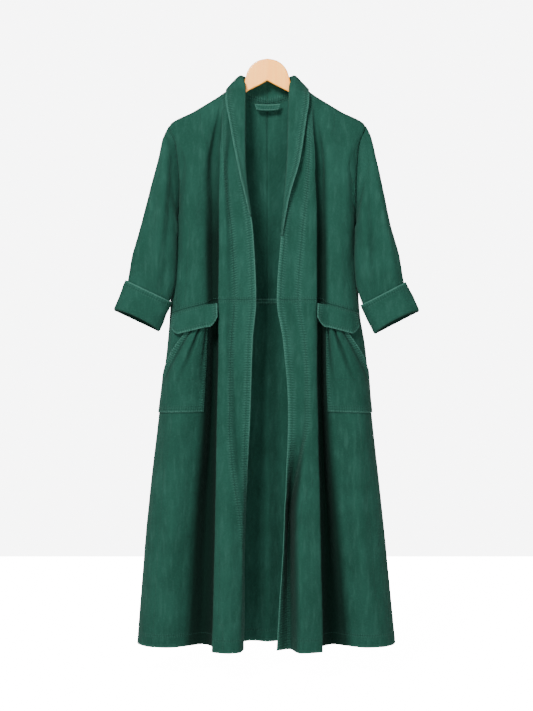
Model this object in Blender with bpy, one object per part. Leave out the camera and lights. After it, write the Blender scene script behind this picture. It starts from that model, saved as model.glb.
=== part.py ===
"""Long duster coat on a plain wooden hanger.

Sizes are in millimetres and turned into metres when a mesh is made. X runs to the right seen from
the front, Y runs to the back and Z up. The origin is the top of the hanger's wood, which lies
SHOULDER_Y behind the zero of the depths below. A drop is a distance below the origin. Left and
right are as seen from the front.
"""
import bpy
import bmesh
from bisect import bisect_right
from collections import namedtuple
from math import cos, hypot, pi, radians, sin
from mathutils import Vector

MM = 0.001

# Cloth and seams
CLOTH = 1.6
COLLAR_CLOTH = 1.8
CUFF_CLOTH = 2.2
SEAM = 0.3
LAID_ON = 0.7

# Shoulders and neck
NECK_X = 62.0
NECK_DROP = 55.5
SHOULDER_SLOPE = 0.603
SHOULDER_X = 211.0
SHOULDER_Y = 5.0
BACK_NECK_DROP = 93.0
BACK_NECK_Y = 38.0
BACK_QUARTER = (44.0, 30.0, 80.0)
BACK_NECK_LEAN = 4.0
BACK_NECK_DEPTH = 2.0
BACK_NECK_FALL = 14.0
ROLL_HEIGHT = 16.0
ROLL_FRONT = 12.0
ROLL_BACK = 14.0
ROLL_OUT = (0.0, 0.71, 1.0)
ROLL_DOWN = (0.0, 0.29, 1.0)

# Armhole
ARMHOLE_X = 187.0
ARMHOLE_TOP_OUT = 24.0
ARMHOLE_LOW_OUT = 5.0
ARMHOLE_BOTTOM = 332.0
ARMHOLE_FRONT = 12.0
ARMHOLE_MID_Y = 6.5
ARMHOLE_TILT = 1.5
ARMHOLE_SWELL = 10.0
ARMHOLE_PULL = 7.0
ARMHOLE_FALL = 9.0
UNDER_ARMHOLE = 27.0
ARMHOLE_TURNS = {"notch": 50, "arm": 113, "seam": 180, "back_arm": 247, "back_notch": 310}

# Fold lines down one half of the body, from the front edge round to the centre back.
# across_shoulder is where the line starts on the shoulder, and steps is the faces up to the next line.
Line = namedtuple("Line", "name across_shoulder steps")
LINES = [
    Line("edge", 62, 1),
    Line("band", 79, 2),
    Line("crest", 95, 2),
    Line("fold", 103, 2),
    Line("under", 106, 2),
    Line("recess", 110, 2),
    Line("lip", 116, 3),
    Line("belly", 160, 2),
    Line("point", 211, 2),
    Line("notch", None, 2),
    Line("arm", None, 2),
    Line("seam", None, 2),
    Line("back_arm", None, 2),
    Line("back_notch", None, 2),
    Line("back_point", 211, 2),
    Line("back_belly", 160, 3),
    Line("back_mid", 111, 3),
    Line("back_neck", 62, 2),
    Line("back_quarter", None, 2),
    Line("centre", None, 0),
]
NAMES = [line.name for line in LINES]

# Sections of one half below the shoulder: x is out from the centre, y is depth, and dip is how much
# lower the section lies at the side seam. wave is the depth of the folds of the back.
Section = namedtuple(
    "Section",
    "drop dip edge_x edge_y band_x band_y crest_x crest_y fold_x fold_y recess_x recess_y "
    "lip_x lip_y belly_x belly_y side_x side_y back_y wave",
)
LEFT = [
    Section(233, 0, 49, -28, 82, -24, 94, -36, 103, -33, 116, -12, 127, -24, 150, -30, 194, 9, 45, 0),
    Section(384, 0, 30, -44, 73, -36, 89, -46, 103, -40, 116, -12, 128, -25, 158, -34, 199, 13, 50, 1),
    Section(521, 29, 24, -46, 66, -40, 88, -48, 104, -43, 115, -18, 126, -28, 158, -35, 209, 18, 52, 1),
    Section(606, 12, 31, -46, 70, -42, 88, -52, 104, -44, 116, 6, 127, -16, 165, -34, 217, 24, 55, 4),
    Section(757, 4, 36, -42, 67, -44, 88, -56, 107, -47, 120, 18, 134, -12, 178, -32, 235, 34, 60, 9),
    Section(989, 0, 46, -36, 54, -52, 82, -61, 111, -48, 131, 32, 150, 2, 202, -18, 262, 52, 68, 12),
    Section(1268, 0, 50, -24, 57, -50, 83, -64, 118, -46, 143, 42, 168, 24, 216, 0, 286, 67, 76, 14),
]
RIGHT = [
    Section(233, 0, 44, -28, 78, -24, 94, -36, 104, -33, 112, -14, 120, -24, 146, -30, 191, 9, 45, 0),
    Section(384, 0, 29, -44, 76, -36, 91, -46, 105, -40, 114, -14, 123, -25, 152, -34, 191, 13, 50, 1),
    Section(521, 29, 20, -46, 70, -40, 90, -48, 105, -43, 115, -18, 124, -28, 154, -35, 200, 18, 52, 1),
    Section(606, 12, 33, -46, 72, -42, 90, -52, 105, -44, 115, 4, 124, -16, 160, -34, 211, 24, 55, 4),
    Section(757, 4, 44, -42, 74, -44, 90, -56, 107, -47, 117, 16, 127, -12, 172, -32, 226, 34, 60, 9),
    Section(989, 0, 37, -34, 47, -4, 67, -59, 112, -48, 128, 32, 146, 2, 196, -18, 252, 52, 68, 12),
    Section(1268, 0, 20, -30, 48, -14, 71, -62, 118, -46, 144, 42, 170, 24, 216, 0, 281, 67, 76, 14),
]

# How a section rounds to the side seam, as turns in degrees with the share of the section's dip
Turn = namedtuple("Turn", "turn dip")
FRONT_TURNS = [Turn(26, 0.7), Turn(48, 0.85), Turn(71, 0.95)]
BACK_TURNS = [Turn(25, 0.95), Turn(50, 0.85), Turn(75, 0.7)]
SHOULDER_BLADE = 0.68

# Soft folds of the back, as shares of the side's x, of the section's wave and of its dip
BackFold = namedtuple("BackFold", "x wave dip")
BACK_FOLDS = [
    BackFold(SHOULDER_BLADE, -1, 0.5),
    BackFold(0.47, 1, 0.2),
    BackFold(0.26, -1, 0),
    BackFold(0.12, 0.6, 0),
    BackFold(0, -0.4, 0),
]

# Knots down the body: three round the shoulder, then one a section. The steps are rows of faces.
FIRST_SECTION = 3
WAIST_KNOT = 5
ROW_KNOTS = [0.0, 0.08, 0.18, 1.3, 2.9, 4.3, 5.15, 6.7, 9.0, 11.8]
ROW_STEPS = [1, 1, 4, 3, 3, 2, 3, 4, 4]

# Shawl collar: the roll and the free edge at stations from the centre back to the neck point, then
# the free edge alone down the front, where the roll follows the panel's edge.
Station = namedtuple("Station", "at roll_x roll_drop roll_y free_x free_drop free_y")
COLLAR_BACK = [
    Station(0, 0, 37, 37, 0, 107, 52),
    Station(1, 40, 36, 31, 56, 92, 42),
    Station(2, 53, 36, 8, 90, 64, 10),
]
FreeEdge = namedtuple("FreeEdge", "drop x y")
COLLAR_FRONT_LEFT = [
    FreeEdge(84, 90, -19),
    FreeEdge(137, 82, -30),
    FreeEdge(225, 65, -41),
    FreeEdge(289, 52, -48),
    FreeEdge(341, 42, -50),
]
COLLAR_FRONT_RIGHT = [
    FreeEdge(84, 90, -19),
    FreeEdge(137, 83, -30),
    FreeEdge(225, 69, -41),
    FreeEdge(300, 48, -49),
    FreeEdge(384, 36, -51),
]
ROLL_RADIUS = 3.5
ROLL_BEHIND = 2.0
LEAF_SWELL = 1.5
COLLAR_EASE = 0.4
NECK_TURN = 45.0
NECK_LAG = 10.0
ROLL_REACH = 6.0
ROLL_REACH_AT_BREAK = 4.0

# Sleeve sections: the outer and the inner end of each, its mid depth and half its depth.
Ring = namedtuple("Ring", "outer_x outer_drop inner_x inner_drop mid_y half_y")
SLEEVE_LEFT = [
    Ring(223, 173, 199, 348, -1, 24),
    Ring(232, 214, 196, 366, -9, 27),
    Ring(247, 275, 195, 391, -17, 27),
    Ring(266, 350, 195, 427, -20, 26),
    Ring(287, 423, 200, 476, -19, 25),
    Ring(301, 480, 212, 521, -15, 23.5),
    Ring(320, 536, 234, 577, -14, 22),
]
SLEEVE_RIGHT = [
    Ring(223, 175, 198, 348, 1, 24),
    Ring(230, 214, 196, 366, -5, 27),
    Ring(243, 284, 191, 393, -14, 27),
    Ring(259, 352, 187, 432, -19, 26),
    Ring(280, 424, 192, 482, -19, 25),
    Ring(294, 482, 205, 527, -15, 23.5),
    Ring(317, 538, 230, 583, -14, 22),
]
SLEEVE_STEPS = 2
CUFF_HEIGHT = 68.0
CUFF_HALF_WIDTH = 53.0
CUFF_HALF_DEPTH = 28.0
CUFF_MOUTH = 8.0
CUFF_ROWS = (1.0, 0.66, 0.33)

# Turn of the cuff's mouth back into the sleeve: up from the mouth, and in from the outer face
Turned = namedtuple("Turned", "up into")
MOUTH_OUTSIDE = [Turned(3, 0), Turned(0, 2.5), Turned(1, 5.5)]
MOUTH_INSIDE = [Turned(4, 2.2), Turned(2.4, 3), Turned(3.2, 4)]

# Pocket flap and pocket, placed on the skirt front
FLAP_DEPTH = 50.0
FLAP_CLIP = 18.0
FLAP_KICK = 9.0
FLAP_INNER_X = 107.0
FLAP_INNER_Y = -41.0
FLAP_INNER_RISE = 2.0
FLAP_IN_FROM_LIP = 6.0
FLAP_IN_FROM_SIDE = 3.0
FLAP_CLIP_SLOPE = 1.6
FLAP_FLARE = 0.12
FLAP_ROWS = (0.03, 0.25, 0.5, 0.75, 1.0)
FLAP_COLUMNS = 8
POCKET_TOP = 28.0
POCKET_BOTTOM = 238.0
POCKET_BULGE = 7.0
POCKET_PLEATS = 3
POCKET_PLEAT_DEPTH = 2.4
POCKET_PLEAT_REACH = 0.55
POCKET_IN_FROM_LIP = 4.0
POCKET_IN_FROM_SIDE = 5.0
POCKET_ROWS = 12
POCKET_COLUMNS = 14
HAND_OPENING = 115.0
HAND_START = 0.38

# Tab and tape inside the back, at levels between the knots of the body
TAB_HALF_WIDTH = 28.0
TAB_LEVELS = (0.06, 0.16)
TAPE_LEVELS = (ROW_KNOTS[WAIST_KNOT] - 0.06, ROW_KNOTS[WAIST_KNOT] + 0.04)
STRIP_STEPS = 8

# Hanger: half of its outline from the top of the arch, and its section
Wood = namedtuple("Wood", "x top bottom")
ARCH = [
    Wood(0, 0, 47),
    Wood(14, 2.2, 55),
    Wood(26, 7.5, 61),
    Wood(36, 16, 66),
    Wood(43, 27, 70),
    Wood(47.5, 42, 73),
    Wood(51, 54, 75),
]
ARM_THICKNESS = 25.0
ARM_END_X = 198.0
ARM_STATIONS = (NECK_X, 70.0, 100.0, 150.0, 190.0, ARM_END_X)
NECK_CLEAR = 2.0
WOOD_HALF_DEPTH = 5.0
WOOD_ROUND = 9.0
END_TOP = 3.0
END_BOTTOM = 5.0
END_HALF_DEPTH = 3.0

BISECTIONS = 24


def blend(a, b, t):
    return a + (b - a) * t


def flow(knots, values, at):
    """Smooth curve through values that never swings past them."""
    last = len(knots) - 1
    steps = [knots[i + 1] - knots[i] for i in range(last)]
    rises = [(values[i + 1] - values[i]) / steps[i] for i in range(last)]
    slopes = [rises[0]]
    for i in range(1, last):
        if rises[i - 1] * rises[i] <= 0:
            slopes.append(0.0)
        else:
            before = 2 * steps[i] + steps[i - 1]
            after = steps[i] + 2 * steps[i - 1]
            slopes.append((before + after) / (before / rises[i - 1] + after / rises[i]))
    slopes.append(rises[-1])
    i = min(max(bisect_right(knots, at) - 1, 0), last - 1)
    t = (at - knots[i]) / steps[i]
    rise = values[i + 1] - values[i]
    a = slopes[i] * steps[i] - rise
    b = rise - slopes[i + 1] * steps[i]
    return values[i] + rise * t + t * (1 - t) * (a * (1 - t) + b * t)


def flow_points(knots, points, at):
    return Vector([flow(knots, [p[axis] for p in points], at) for axis in range(3)])


def shoulder_drop(x):
    return NECK_DROP + SHOULDER_SLOPE * (x - NECK_X)


def armhole(turn):
    """Point of the armhole seam: turn is 0 at the shoulder, pi at the underarm."""
    top = shoulder_drop(SHOULDER_X)
    low = (1 - cos(turn)) / 2
    x = ARMHOLE_X + ARMHOLE_TOP_OUT * (1 - low) ** 4 + ARMHOLE_LOW_OUT * low ** 3
    y = ARMHOLE_MID_Y - ARMHOLE_FRONT * sin(turn) - ARMHOLE_TILT * cos(turn)
    return Vector((x, y, -blend(top, ARMHOLE_BOTTOM, low)))


def top_points():
    """The three rows that round the shoulder, the armhole and the back neck."""
    rows = [[], [], []]
    slope = Vector((-SHOULDER_SLOPE, 0, -1)).normalized()
    for line in LINES:
        back = NAMES.index(line.name) > NAMES.index("seam")
        if line.across_shoulder is not None:
            x = line.across_shoulder
            start = Vector((x, SHOULDER_Y, -shoulder_drop(x)))
            depth = Vector((0, ROLL_BACK if back else -ROLL_FRONT, 0))
            fall = slope * ROLL_HEIGHT
            if line.name == "back_neck":
                fall = Vector((BACK_NECK_LEAN, 0, -ROLL_HEIGHT))
        elif line.name in ARMHOLE_TURNS:
            turn = radians(ARMHOLE_TURNS[line.name])
            start = armhole(turn)
            across = abs(sin(turn))
            pull = ARMHOLE_PULL * across * (1 + cos(turn)) / 2
            depth = Vector((0, -ARMHOLE_SWELL * sin(turn), 0))
            fall = Vector((-pull, 0, -ARMHOLE_FALL * (1 + across)))
        else:
            place = BACK_QUARTER if line.name == "back_quarter" else (0, BACK_NECK_Y, BACK_NECK_DROP)
            start = Vector((place[0], place[1], -place[2]))
            depth = Vector((0, BACK_NECK_DEPTH, 0))
            fall = Vector((0, 0, -BACK_NECK_FALL))
        for row, out, down in zip(rows, ROLL_OUT, ROLL_DOWN):
            row.append(start + depth * out + fall * down)
    return rows


def section_points(s):
    """The fold lines' points in one section. The first section passes under the armhole."""
    under_armhole = s.drop < ARMHOLE_BOTTOM
    points = [
        (s.edge_x, s.edge_y, 0),
        (s.band_x, s.band_y, 0),
        (s.crest_x, s.crest_y, 0),
        (s.fold_x, s.fold_y, 0),
        (s.fold_x - 1, blend(s.fold_y, s.recess_y, 0.6), 0),
        (s.recess_x, s.recess_y, 0),
        (s.lip_x, s.lip_y, 0.2),
        (s.belly_x, s.belly_y, 0.5),
    ]
    for turn, down in FRONT_TURNS:
        share = sin(radians(turn))
        round_off = cos(radians(turn))
        if under_armhole:
            share = 0.3 + 0.7 * turn / 95
            round_off = cos(radians(0.8 * turn))
        x = blend(s.belly_x, s.side_x, share)
        y = blend(s.side_y, s.belly_y, round_off)
        points.append((x, y, down))
    points.append((s.side_x, s.side_y, 1))
    for turn, down in BACK_TURNS:
        x = s.side_x * blend(SHOULDER_BLADE, 1, cos(radians(turn)))
        y = blend(s.side_y, s.back_y, sin(radians(1.2 * turn if under_armhole else turn)))
        points.append((x, y, down))
    for fold in BACK_FOLDS:
        points.append((fold.x * s.side_x, s.back_y + fold.wave * s.wave, fold.dip))
    placed = [Vector((x, y, -s.drop - s.dip * down)) for x, y, down in points]
    if under_armhole:
        for name, turn in ARMHOLE_TURNS.items():
            point = placed[NAMES.index(name)]
            below = UNDER_ARMHOLE * (1 + 0.6 * abs(sin(radians(turn))))
            point.z = min(point.z, armhole(radians(turn)).z - below)
    return placed


class Half:
    """One half of the body as a smooth surface, kept with x out from the centre."""

    def __init__(self, sections):
        self.rows = top_points() + [section_points(s) for s in sections]
        middle = self.rows[WAIST_KNOT + 1]
        self.across = [0.0]
        for a, b in zip(middle, middle[1:]):
            self.across.append(self.across[-1] + (b - a).length)
        self.columns = []
        self.column_of = {}
        for k, line in enumerate(LINES):
            self.column_of[line.name] = len(self.columns)
            for step in range(max(line.steps, 1)):
                width = self.across[k + 1] - self.across[k] if line.steps else 0
                self.columns.append(self.across[k] + width * step / max(line.steps, 1))
        self.levels = []
        self.level_of = []
        for k, steps in enumerate(ROW_STEPS):
            self.level_of.append(len(self.levels))
            for step in range(steps):
                self.levels.append(blend(ROW_KNOTS[k], ROW_KNOTS[k + 1], step / steps))
        self.level_of.append(len(self.levels))
        self.levels.append(ROW_KNOTS[-1])
        self.grid = [[self.at(u, v) for u in self.columns] for v in self.levels]
        exact = [[self.normal(u, v) for u in self.columns] for v in self.levels]
        self.normals = exact[:1] + eased(exact)[1:]
        for line in self.normals:
            line[-1] = level_normal(line[-1])
        self.share_seam_normals()

    def at(self, u, v):
        line = [flow_points(ROW_KNOTS, [row[k] for row in self.rows], v) for k in range(len(LINES))]
        return flow_points(self.across, line, u)

    def normal(self, u, v):
        """Unit normal of the cloth's outer side."""
        du = 1.0
        dv = 0.012
        low_u = max(u - du, 0)
        high_u = min(u + du, self.across[-1])
        low_v = max(v - dv, 0)
        high_v = min(v + dv, ROW_KNOTS[-1])
        along = self.at(high_u, v) - self.at(low_u, v)
        down = self.at(u, high_v) - self.at(u, low_v)
        normal = down.cross(along).normalized()
        if u > self.across[-1] - du:
            normal = level_normal(normal)
        return normal

    def share_seam_normals(self):
        """Front, back and sleeve share one normal along the shoulder seam and the armhole."""
        up = Vector((SHOULDER_SLOPE, 0, 1)).normalized()
        first = self.column_of["point"]
        last = self.column_of["back_point"]
        neck = self.column_of["back_neck"]
        for j in range(neck + 1):
            if j <= first or j >= last:
                self.normals[0][j] = up.copy()
            elif self.normals[0][j].x < 0:
                self.normals[0][j] = level_normal(self.normals[0][j])


def eased(normals):
    """Normals averaged with their neighbours."""
    rows = len(normals)
    count = len(normals[0])
    result = []
    for i in range(rows):
        line = []
        for j in range(count):
            total = normals[i][j] * 2 + normals[max(i - 1, 0)][j] + normals[min(i + 1, rows - 1)][j]
            total += normals[i][max(j - 1, 0)] + normals[i][min(j + 1, count - 1)]
            line.append(total.normalized())
        result.append(line)
    return result


def level_normal(n):
    """The normal without its sideways share, so that two pieces can meet on an upright seam."""
    return Vector((0, n.y, n.z)).normalized()


def unit(v):
    return v.normalized()


def trimmed(grid, edges, amount):
    """Grid with the named edges drawn back along the cloth by amount."""
    grid = [[p.copy() for p in row] for row in grid]
    if "top" in edges:
        grid[0] = [a + unit(b - a) * amount for a, b in zip(grid[0], grid[1])]
    if "bottom" in edges:
        grid[-1] = [a + unit(b - a) * amount for a, b in zip(grid[-1], grid[-2])]
    for row in grid:
        if "first" in edges:
            row[0] = row[0] + unit(row[1] - row[0]) * amount
        if "last" in edges:
            row[-1] = row[-1] + unit(row[-2] - row[-1]) * amount
    return grid


def cloth(name, outer, inner, material, sign=1, ring=False):
    """Closed wall between an outer and an inner grid of points."""
    bm = bmesh.new()
    place = []
    for side in (outer, inner):
        spots = [[(p.x * sign * MM, (p.y - SHOULDER_Y) * MM, p.z * MM) for p in row] for row in side]
        place.append([[bm.verts.new(spot) for spot in row] for row in spots])
    rows = len(outer)
    count = len(outer[0])
    pairs = [(j, (j + 1) % count) for j in range(count if ring else count - 1)]
    for i in range(rows - 1):
        for a, b in pairs:
            bm.faces.new((place[0][i][a], place[0][i + 1][a], place[0][i + 1][b], place[0][i][b]))
            bm.faces.new((place[1][i][b], place[1][i + 1][b], place[1][i + 1][a], place[1][i][a]))
    for a, b in pairs:
        bm.faces.new((place[0][0][b], place[1][0][b], place[1][0][a], place[0][0][a]))
        bm.faces.new((place[0][-1][a], place[1][-1][a], place[1][-1][b], place[0][-1][b]))
    if not ring:
        for i in range(rows - 1):
            bm.faces.new((place[0][i][0], place[1][i][0], place[1][i + 1][0], place[0][i + 1][0]))
            bm.faces.new((place[0][i + 1][-1], place[1][i + 1][-1], place[1][i][-1], place[0][i][-1]))
    if bm.calc_volume(signed=True) < 0:
        bmesh.ops.reverse_faces(bm, faces=bm.faces[:])
    mesh = bpy.data.meshes.new(name)
    bm.to_mesh(mesh)
    bm.free()
    mesh.materials.append(material)
    mesh.shade_smooth()
    mesh.set_sharp_from_angle(angle=radians(50))
    piece = bpy.data.objects.new(name, mesh)
    bpy.context.scene.collection.objects.link(piece)
    return piece


def inset(grid, normals, thickness):
    return [[p - n * thickness for p, n in zip(row, line)] for row, line in zip(grid, normals)]


def turned_to(p, sign):
    """The point on the left or the right half."""
    return Vector((p.x * sign, p.y, p.z))


def cut(table, rows, columns):
    return [line[columns[0]:columns[1] + 1] for line in table[rows[0]:rows[1] + 1]]


def body_panel(name, half, sign, material, rows, columns):
    """One panel of the body, with its seams drawn back."""
    edges = ("top", "bottom", "first", "last")
    outer = cut(half.grid, rows, columns)
    inner = inset(outer, cut(half.normals, rows, columns), CLOTH)
    outer = trimmed(outer, edges, SEAM / 2)
    inner = trimmed(inner, edges, SEAM / 2)
    cloth(name, outer, inner, material, sign)


def skirt_back(halves, material):
    """Both halves of the back below the waist, in one piece."""
    left, right = halves
    rows = (left.level_of[WAIST_KNOT], len(left.levels) - 1)
    columns = (left.column_of["seam"], left.column_of["centre"])
    outer = []
    inner = []
    for i in range(rows[0], rows[1] + 1):
        line_out = []
        line_in = []
        for half, sign in ((left, -1), (right, 1)):
            points = half.grid[i][columns[0]:columns[1] + 1]
            normals = half.normals[i][columns[0]:columns[1] + 1]
            out = [turned_to(p, sign) for p in points]
            back = [turned_to(p - n * CLOTH, sign) for p, n in zip(points, normals)]
            if sign < 0:
                line_out = out
                line_in = back
            else:
                line_out = line_out[:-1] + out[::-1]
                line_in = line_in[:-1] + back[::-1]
        outer.append(line_out)
        inner.append(line_in)
    edges = ("top", "first", "last")
    cloth("skirt_back", trimmed(outer, edges, SEAM / 2), trimmed(inner, edges, SEAM / 2), material)


def collar(name, half, sign, fronts, material):
    """Turned-over leaf from its seam, round the roll to the free edge."""
    centre = half.column_of["centre"]
    neck = half.column_of["back_neck"]
    stations = []
    knots = [s.at for s in COLLAR_BACK]
    rolls = [Vector((s.roll_x, s.roll_y, -s.roll_drop)) for s in COLLAR_BACK]
    frees = [Vector((s.free_x, s.free_y, -s.free_drop)) for s in COLLAR_BACK]
    for j in range(centre, neck - 1, -1):
        at = 2 * (centre - j) / (centre - neck)
        roll = flow_points(knots, rolls, at)
        free = flow_points(knots, frees, at)
        stations.append((half.grid[0][j], half.normals[0][j], roll, free))
    drops = [COLLAR_BACK[-1].free_drop] + [f.drop for f in fronts]
    edges = [frees[-1]] + [Vector((f.x, f.y, -f.drop)) for f in fronts]
    length = fronts[-1].drop - NECK_DROP
    for i in range(1, len(half.levels)):
        point = half.grid[i][0] - Vector((COLLAR_EASE, 0, 0))
        drop = -point.z
        if drop > fronts[-1].drop + 1:
            break
        share = (drop - NECK_DROP) / length
        reach = blend(ROLL_REACH, ROLL_REACH_AT_BREAK, share)
        near = max(0.0, 1 - ((drop - NECK_DROP) / NECK_TURN) ** 0.5)
        offset = Vector((-reach, -ROLL_RADIUS, 0))
        roll = point + offset + (rolls[-1] - half.grid[0][0] - offset) * near
        free = flow_points(drops, edges, max(drop + NECK_LAG * near, drops[0]))
        stations.append((point, half.normals[i][0], roll, free))
    grid = []
    for i, (point, _, roll, free) in enumerate(stations):
        along = unit(stations[min(i + 1, len(stations) - 1)][2] - stations[max(i - 1, 0)][2])
        if i == 0:
            along = Vector((1, 0, 0))
        opening = (point + free) / 2 - roll
        opening = unit(opening - along * opening.dot(along))
        width = free - point
        width = width - along * width.dot(along)
        width = unit(width - opening * width.dot(opening))
        inward = roll + opening * ROLL_BEHIND - width * ROLL_RADIUS
        outward = roll + opening * ROLL_BEHIND + width * ROLL_RADIUS
        path = [point, inward, roll, outward, blend(outward, free, 0.5) + width * LEAF_SWELL, free]
        lengths = [0.0]
        for a, b in zip(path, path[1:]):
            lengths.append(lengths[-1] + (b - a).length)
        places = []
        for k in range(len(path) - 1):
            places += [lengths[k], blend(lengths[k], lengths[k + 1], 0.5)]
        places.append(lengths[-1])
        grid.append([flow_points(lengths, path, place) for place in places])
    normals = grid_normals(grid)
    for line, station in zip(normals, stations):
        if line[0].dot(station[1]) < 0:
            line[:] = [-n for n in line]
    normals = eased(normals)
    for line, station in zip(normals, stations):
        line[0] = station[1].copy()
    normals[0] = [level_normal(n) for n in normals[0]]
    outer = trimmed(grid, ("top", "first"), SEAM / 2)
    inner = trimmed(inset(grid, normals, COLLAR_CLOTH), ("top", "first"), SEAM / 2)
    cloth(name, outer, inner, material, sign)


def grid_normals(grid, ring=False):
    """Unit normals of a grid of points."""
    rows = len(grid)
    count = len(grid[0])
    normals = []
    for i in range(rows):
        line = []
        for j in range(count):
            if ring:
                along = grid[i][(j + 1) % count] - grid[i][j - 1]
            else:
                along = grid[i][min(j + 1, count - 1)] - grid[i][max(j - 1, 0)]
            down = grid[min(i + 1, rows - 1)][j] - grid[max(i - 1, 0)][j]
            line.append(down.cross(along).normalized())
        normals.append(line)
    return normals


def ring_points(ring, count):
    """An oval section of a sleeve, starting at its outer end and turning to the front."""
    outer = Vector((ring.outer_x, ring.mid_y, -ring.outer_drop))
    inner = Vector((ring.inner_x, ring.mid_y, -ring.inner_drop))
    middle = (outer + inner) / 2
    reach = (outer - inner) / 2
    depth = Vector((0, -ring.half_y, 0))
    return [middle + reach * cos(2 * pi * k / count) + depth * sin(2 * pi * k / count) for k in range(count)]


def sleeve(name, half, sign, rings, material):
    """Tube from the armhole to the wrist. Returns the points of its open end."""
    first = half.column_of["point"]
    last = half.column_of["back_point"]
    gap = Vector((SEAM, 0, 0))
    start = [p + gap for p in half.grid[0][first:last]]
    count = len(start)
    sections = [start] + [ring_points(ring, count) for ring in rings]
    knots = list(range(len(sections)))
    places = [k / SLEEVE_STEPS for k in range((len(sections) - 1) * SLEEVE_STEPS + 1)]
    columns = [[section[j] for section in sections] for j in range(count)]
    outer = [[flow_points(knots, column, at) for column in columns] for at in places]
    normals = grid_normals(outer, ring=True)
    for row, line in zip(outer, normals):
        middle = sum(row, Vector()) / count
        line[:] = [n if n.dot(p - middle) > 0 else -n for p, n in zip(row, line)]
    normals[0] = [level_normal(n) if n.x > 0 else n for n in normals[0]]
    inner = inset(outer, normals, CLOTH)
    cloth(name, outer, inner, material, sign, ring=True)
    return outer[-1], inner[-1]


def cuff(name, sign, rings, end, material):
    """Turned-back band round the sleeve's end, rolled in at the mouth."""
    sleeve_end, sleeve_inside = end
    count = len(sleeve_end)
    middle = sum(sleeve_end, Vector()) / count
    before, last = rings[-2:]
    across = unit(Vector((last.outer_x - last.inner_x, 0, last.inner_drop - last.outer_drop)))
    step_x = last.outer_x + last.inner_x - before.outer_x - before.inner_x
    step_drop = last.outer_drop + last.inner_drop - before.outer_drop - before.inner_drop
    down = unit(Vector((step_x, 0, -step_drop)))
    depth = Vector((0, -1, 0))

    def oval(along, into):
        centre = middle + down * along
        width = across * (CUFF_HALF_WIDTH - into)
        thick = depth * (CUFF_HALF_DEPTH - into)
        turns = [2 * pi * k / count for k in range(count)]
        return [centre + width * cos(t) + thick * sin(t) for t in turns]

    seat = [p + down * SEAM for p in sleeve_end]
    seat_inside = [p + down * SEAM for p in sleeve_inside]
    tops = [Turned(CUFF_HEIGHT * share, 0) for share in CUFF_ROWS]
    tops_inside = [Turned(top.up, CUFF_CLOTH) for top in tops]
    outer = [oval(CUFF_MOUTH - row.up, row.into) for row in tops + MOUTH_OUTSIDE] + [seat_inside]
    inner = [oval(CUFF_MOUTH - row.up, row.into) for row in tops_inside + MOUTH_INSIDE] + [seat]
    cloth(name, outer, inner, material, sign, ring=True)


def column_at(half, level, x, start, stop):
    """Place across the cloth where a level passes a given x, between two fold lines."""
    low = half.across[NAMES.index(start)]
    high = half.across[NAMES.index(stop)]
    for _ in range(BISECTIONS):
        mid = (low + high) / 2
        if half.at(mid, level).x < x:
            low = mid
        else:
            high = mid
    return (low + high) / 2


def level_at(half, drop):
    """Level whose lip line lies at a given drop."""
    u = half.across[NAMES.index("lip")]
    low = ROW_KNOTS[WAIST_KNOT]
    high = ROW_KNOTS[-1]
    for _ in range(BISECTIONS):
        mid = (low + high) / 2
        if -half.at(u, mid).z < drop:
            low = mid
        else:
            high = mid
    return (low + high) / 2


def flap(name, half, sign, sections, material):
    """Pocket flap hanging from the waist seam, with clipped lower corners."""
    waist = ROW_KNOTS[WAIST_KNOT]
    waist_section = sections[WAIST_KNOT - FIRST_SECTION]
    start_x = waist_section.lip_x + FLAP_IN_FROM_LIP
    end_x = waist_section.side_x - FLAP_IN_FROM_SIDE
    across = [blend(start_x, end_x, k / FLAP_COLUMNS) for k in range(FLAP_COLUMNS + 1)]
    tops = []
    normals = []
    for x in across:
        u = column_at(half, waist, x, "lip", "seam")
        tops.append(half.at(u, waist))
        normals.append(half.normal(u, waist))
    base = tops[0]
    for share in (0.5, 1.0):
        x = blend(base.x, FLAP_INNER_X, share)
        y = blend(base.y, FLAP_INNER_Y, share)
        tops.insert(0, Vector((x, y, base.z + FLAP_INNER_RISE * share)))
        normals.insert(0, normals[0])
    count = len(tops)
    total = tops[-1].x - tops[0].x
    outer = []
    for t in FLAP_ROWS:
        row = []
        for top, normal in zip(tops, normals):
            from_end = min(top.x - tops[0].x, tops[-1].x - top.x)
            length = FLAP_DEPTH - max(0.0, FLAP_CLIP - from_end * FLAP_CLIP_SLOPE)
            flare = Vector((FLAP_FLARE * (top.x - tops[0].x) / total * length * t, 0, 0))
            lift = CLOTH + LAID_ON + FLAP_KICK * t ** 0.8
            row.append(top + normal * lift + flare + Vector((0, 0, -length * t)))
        outer.append(row)
    lines = grid_normals(outer)
    for line in lines:
        for j in range(count):
            if line[j].dot(normals[j]) < 0:
                line[j] = -line[j]
    cloth(name, outer, inset(outer, lines, CLOTH), material, sign)


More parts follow.
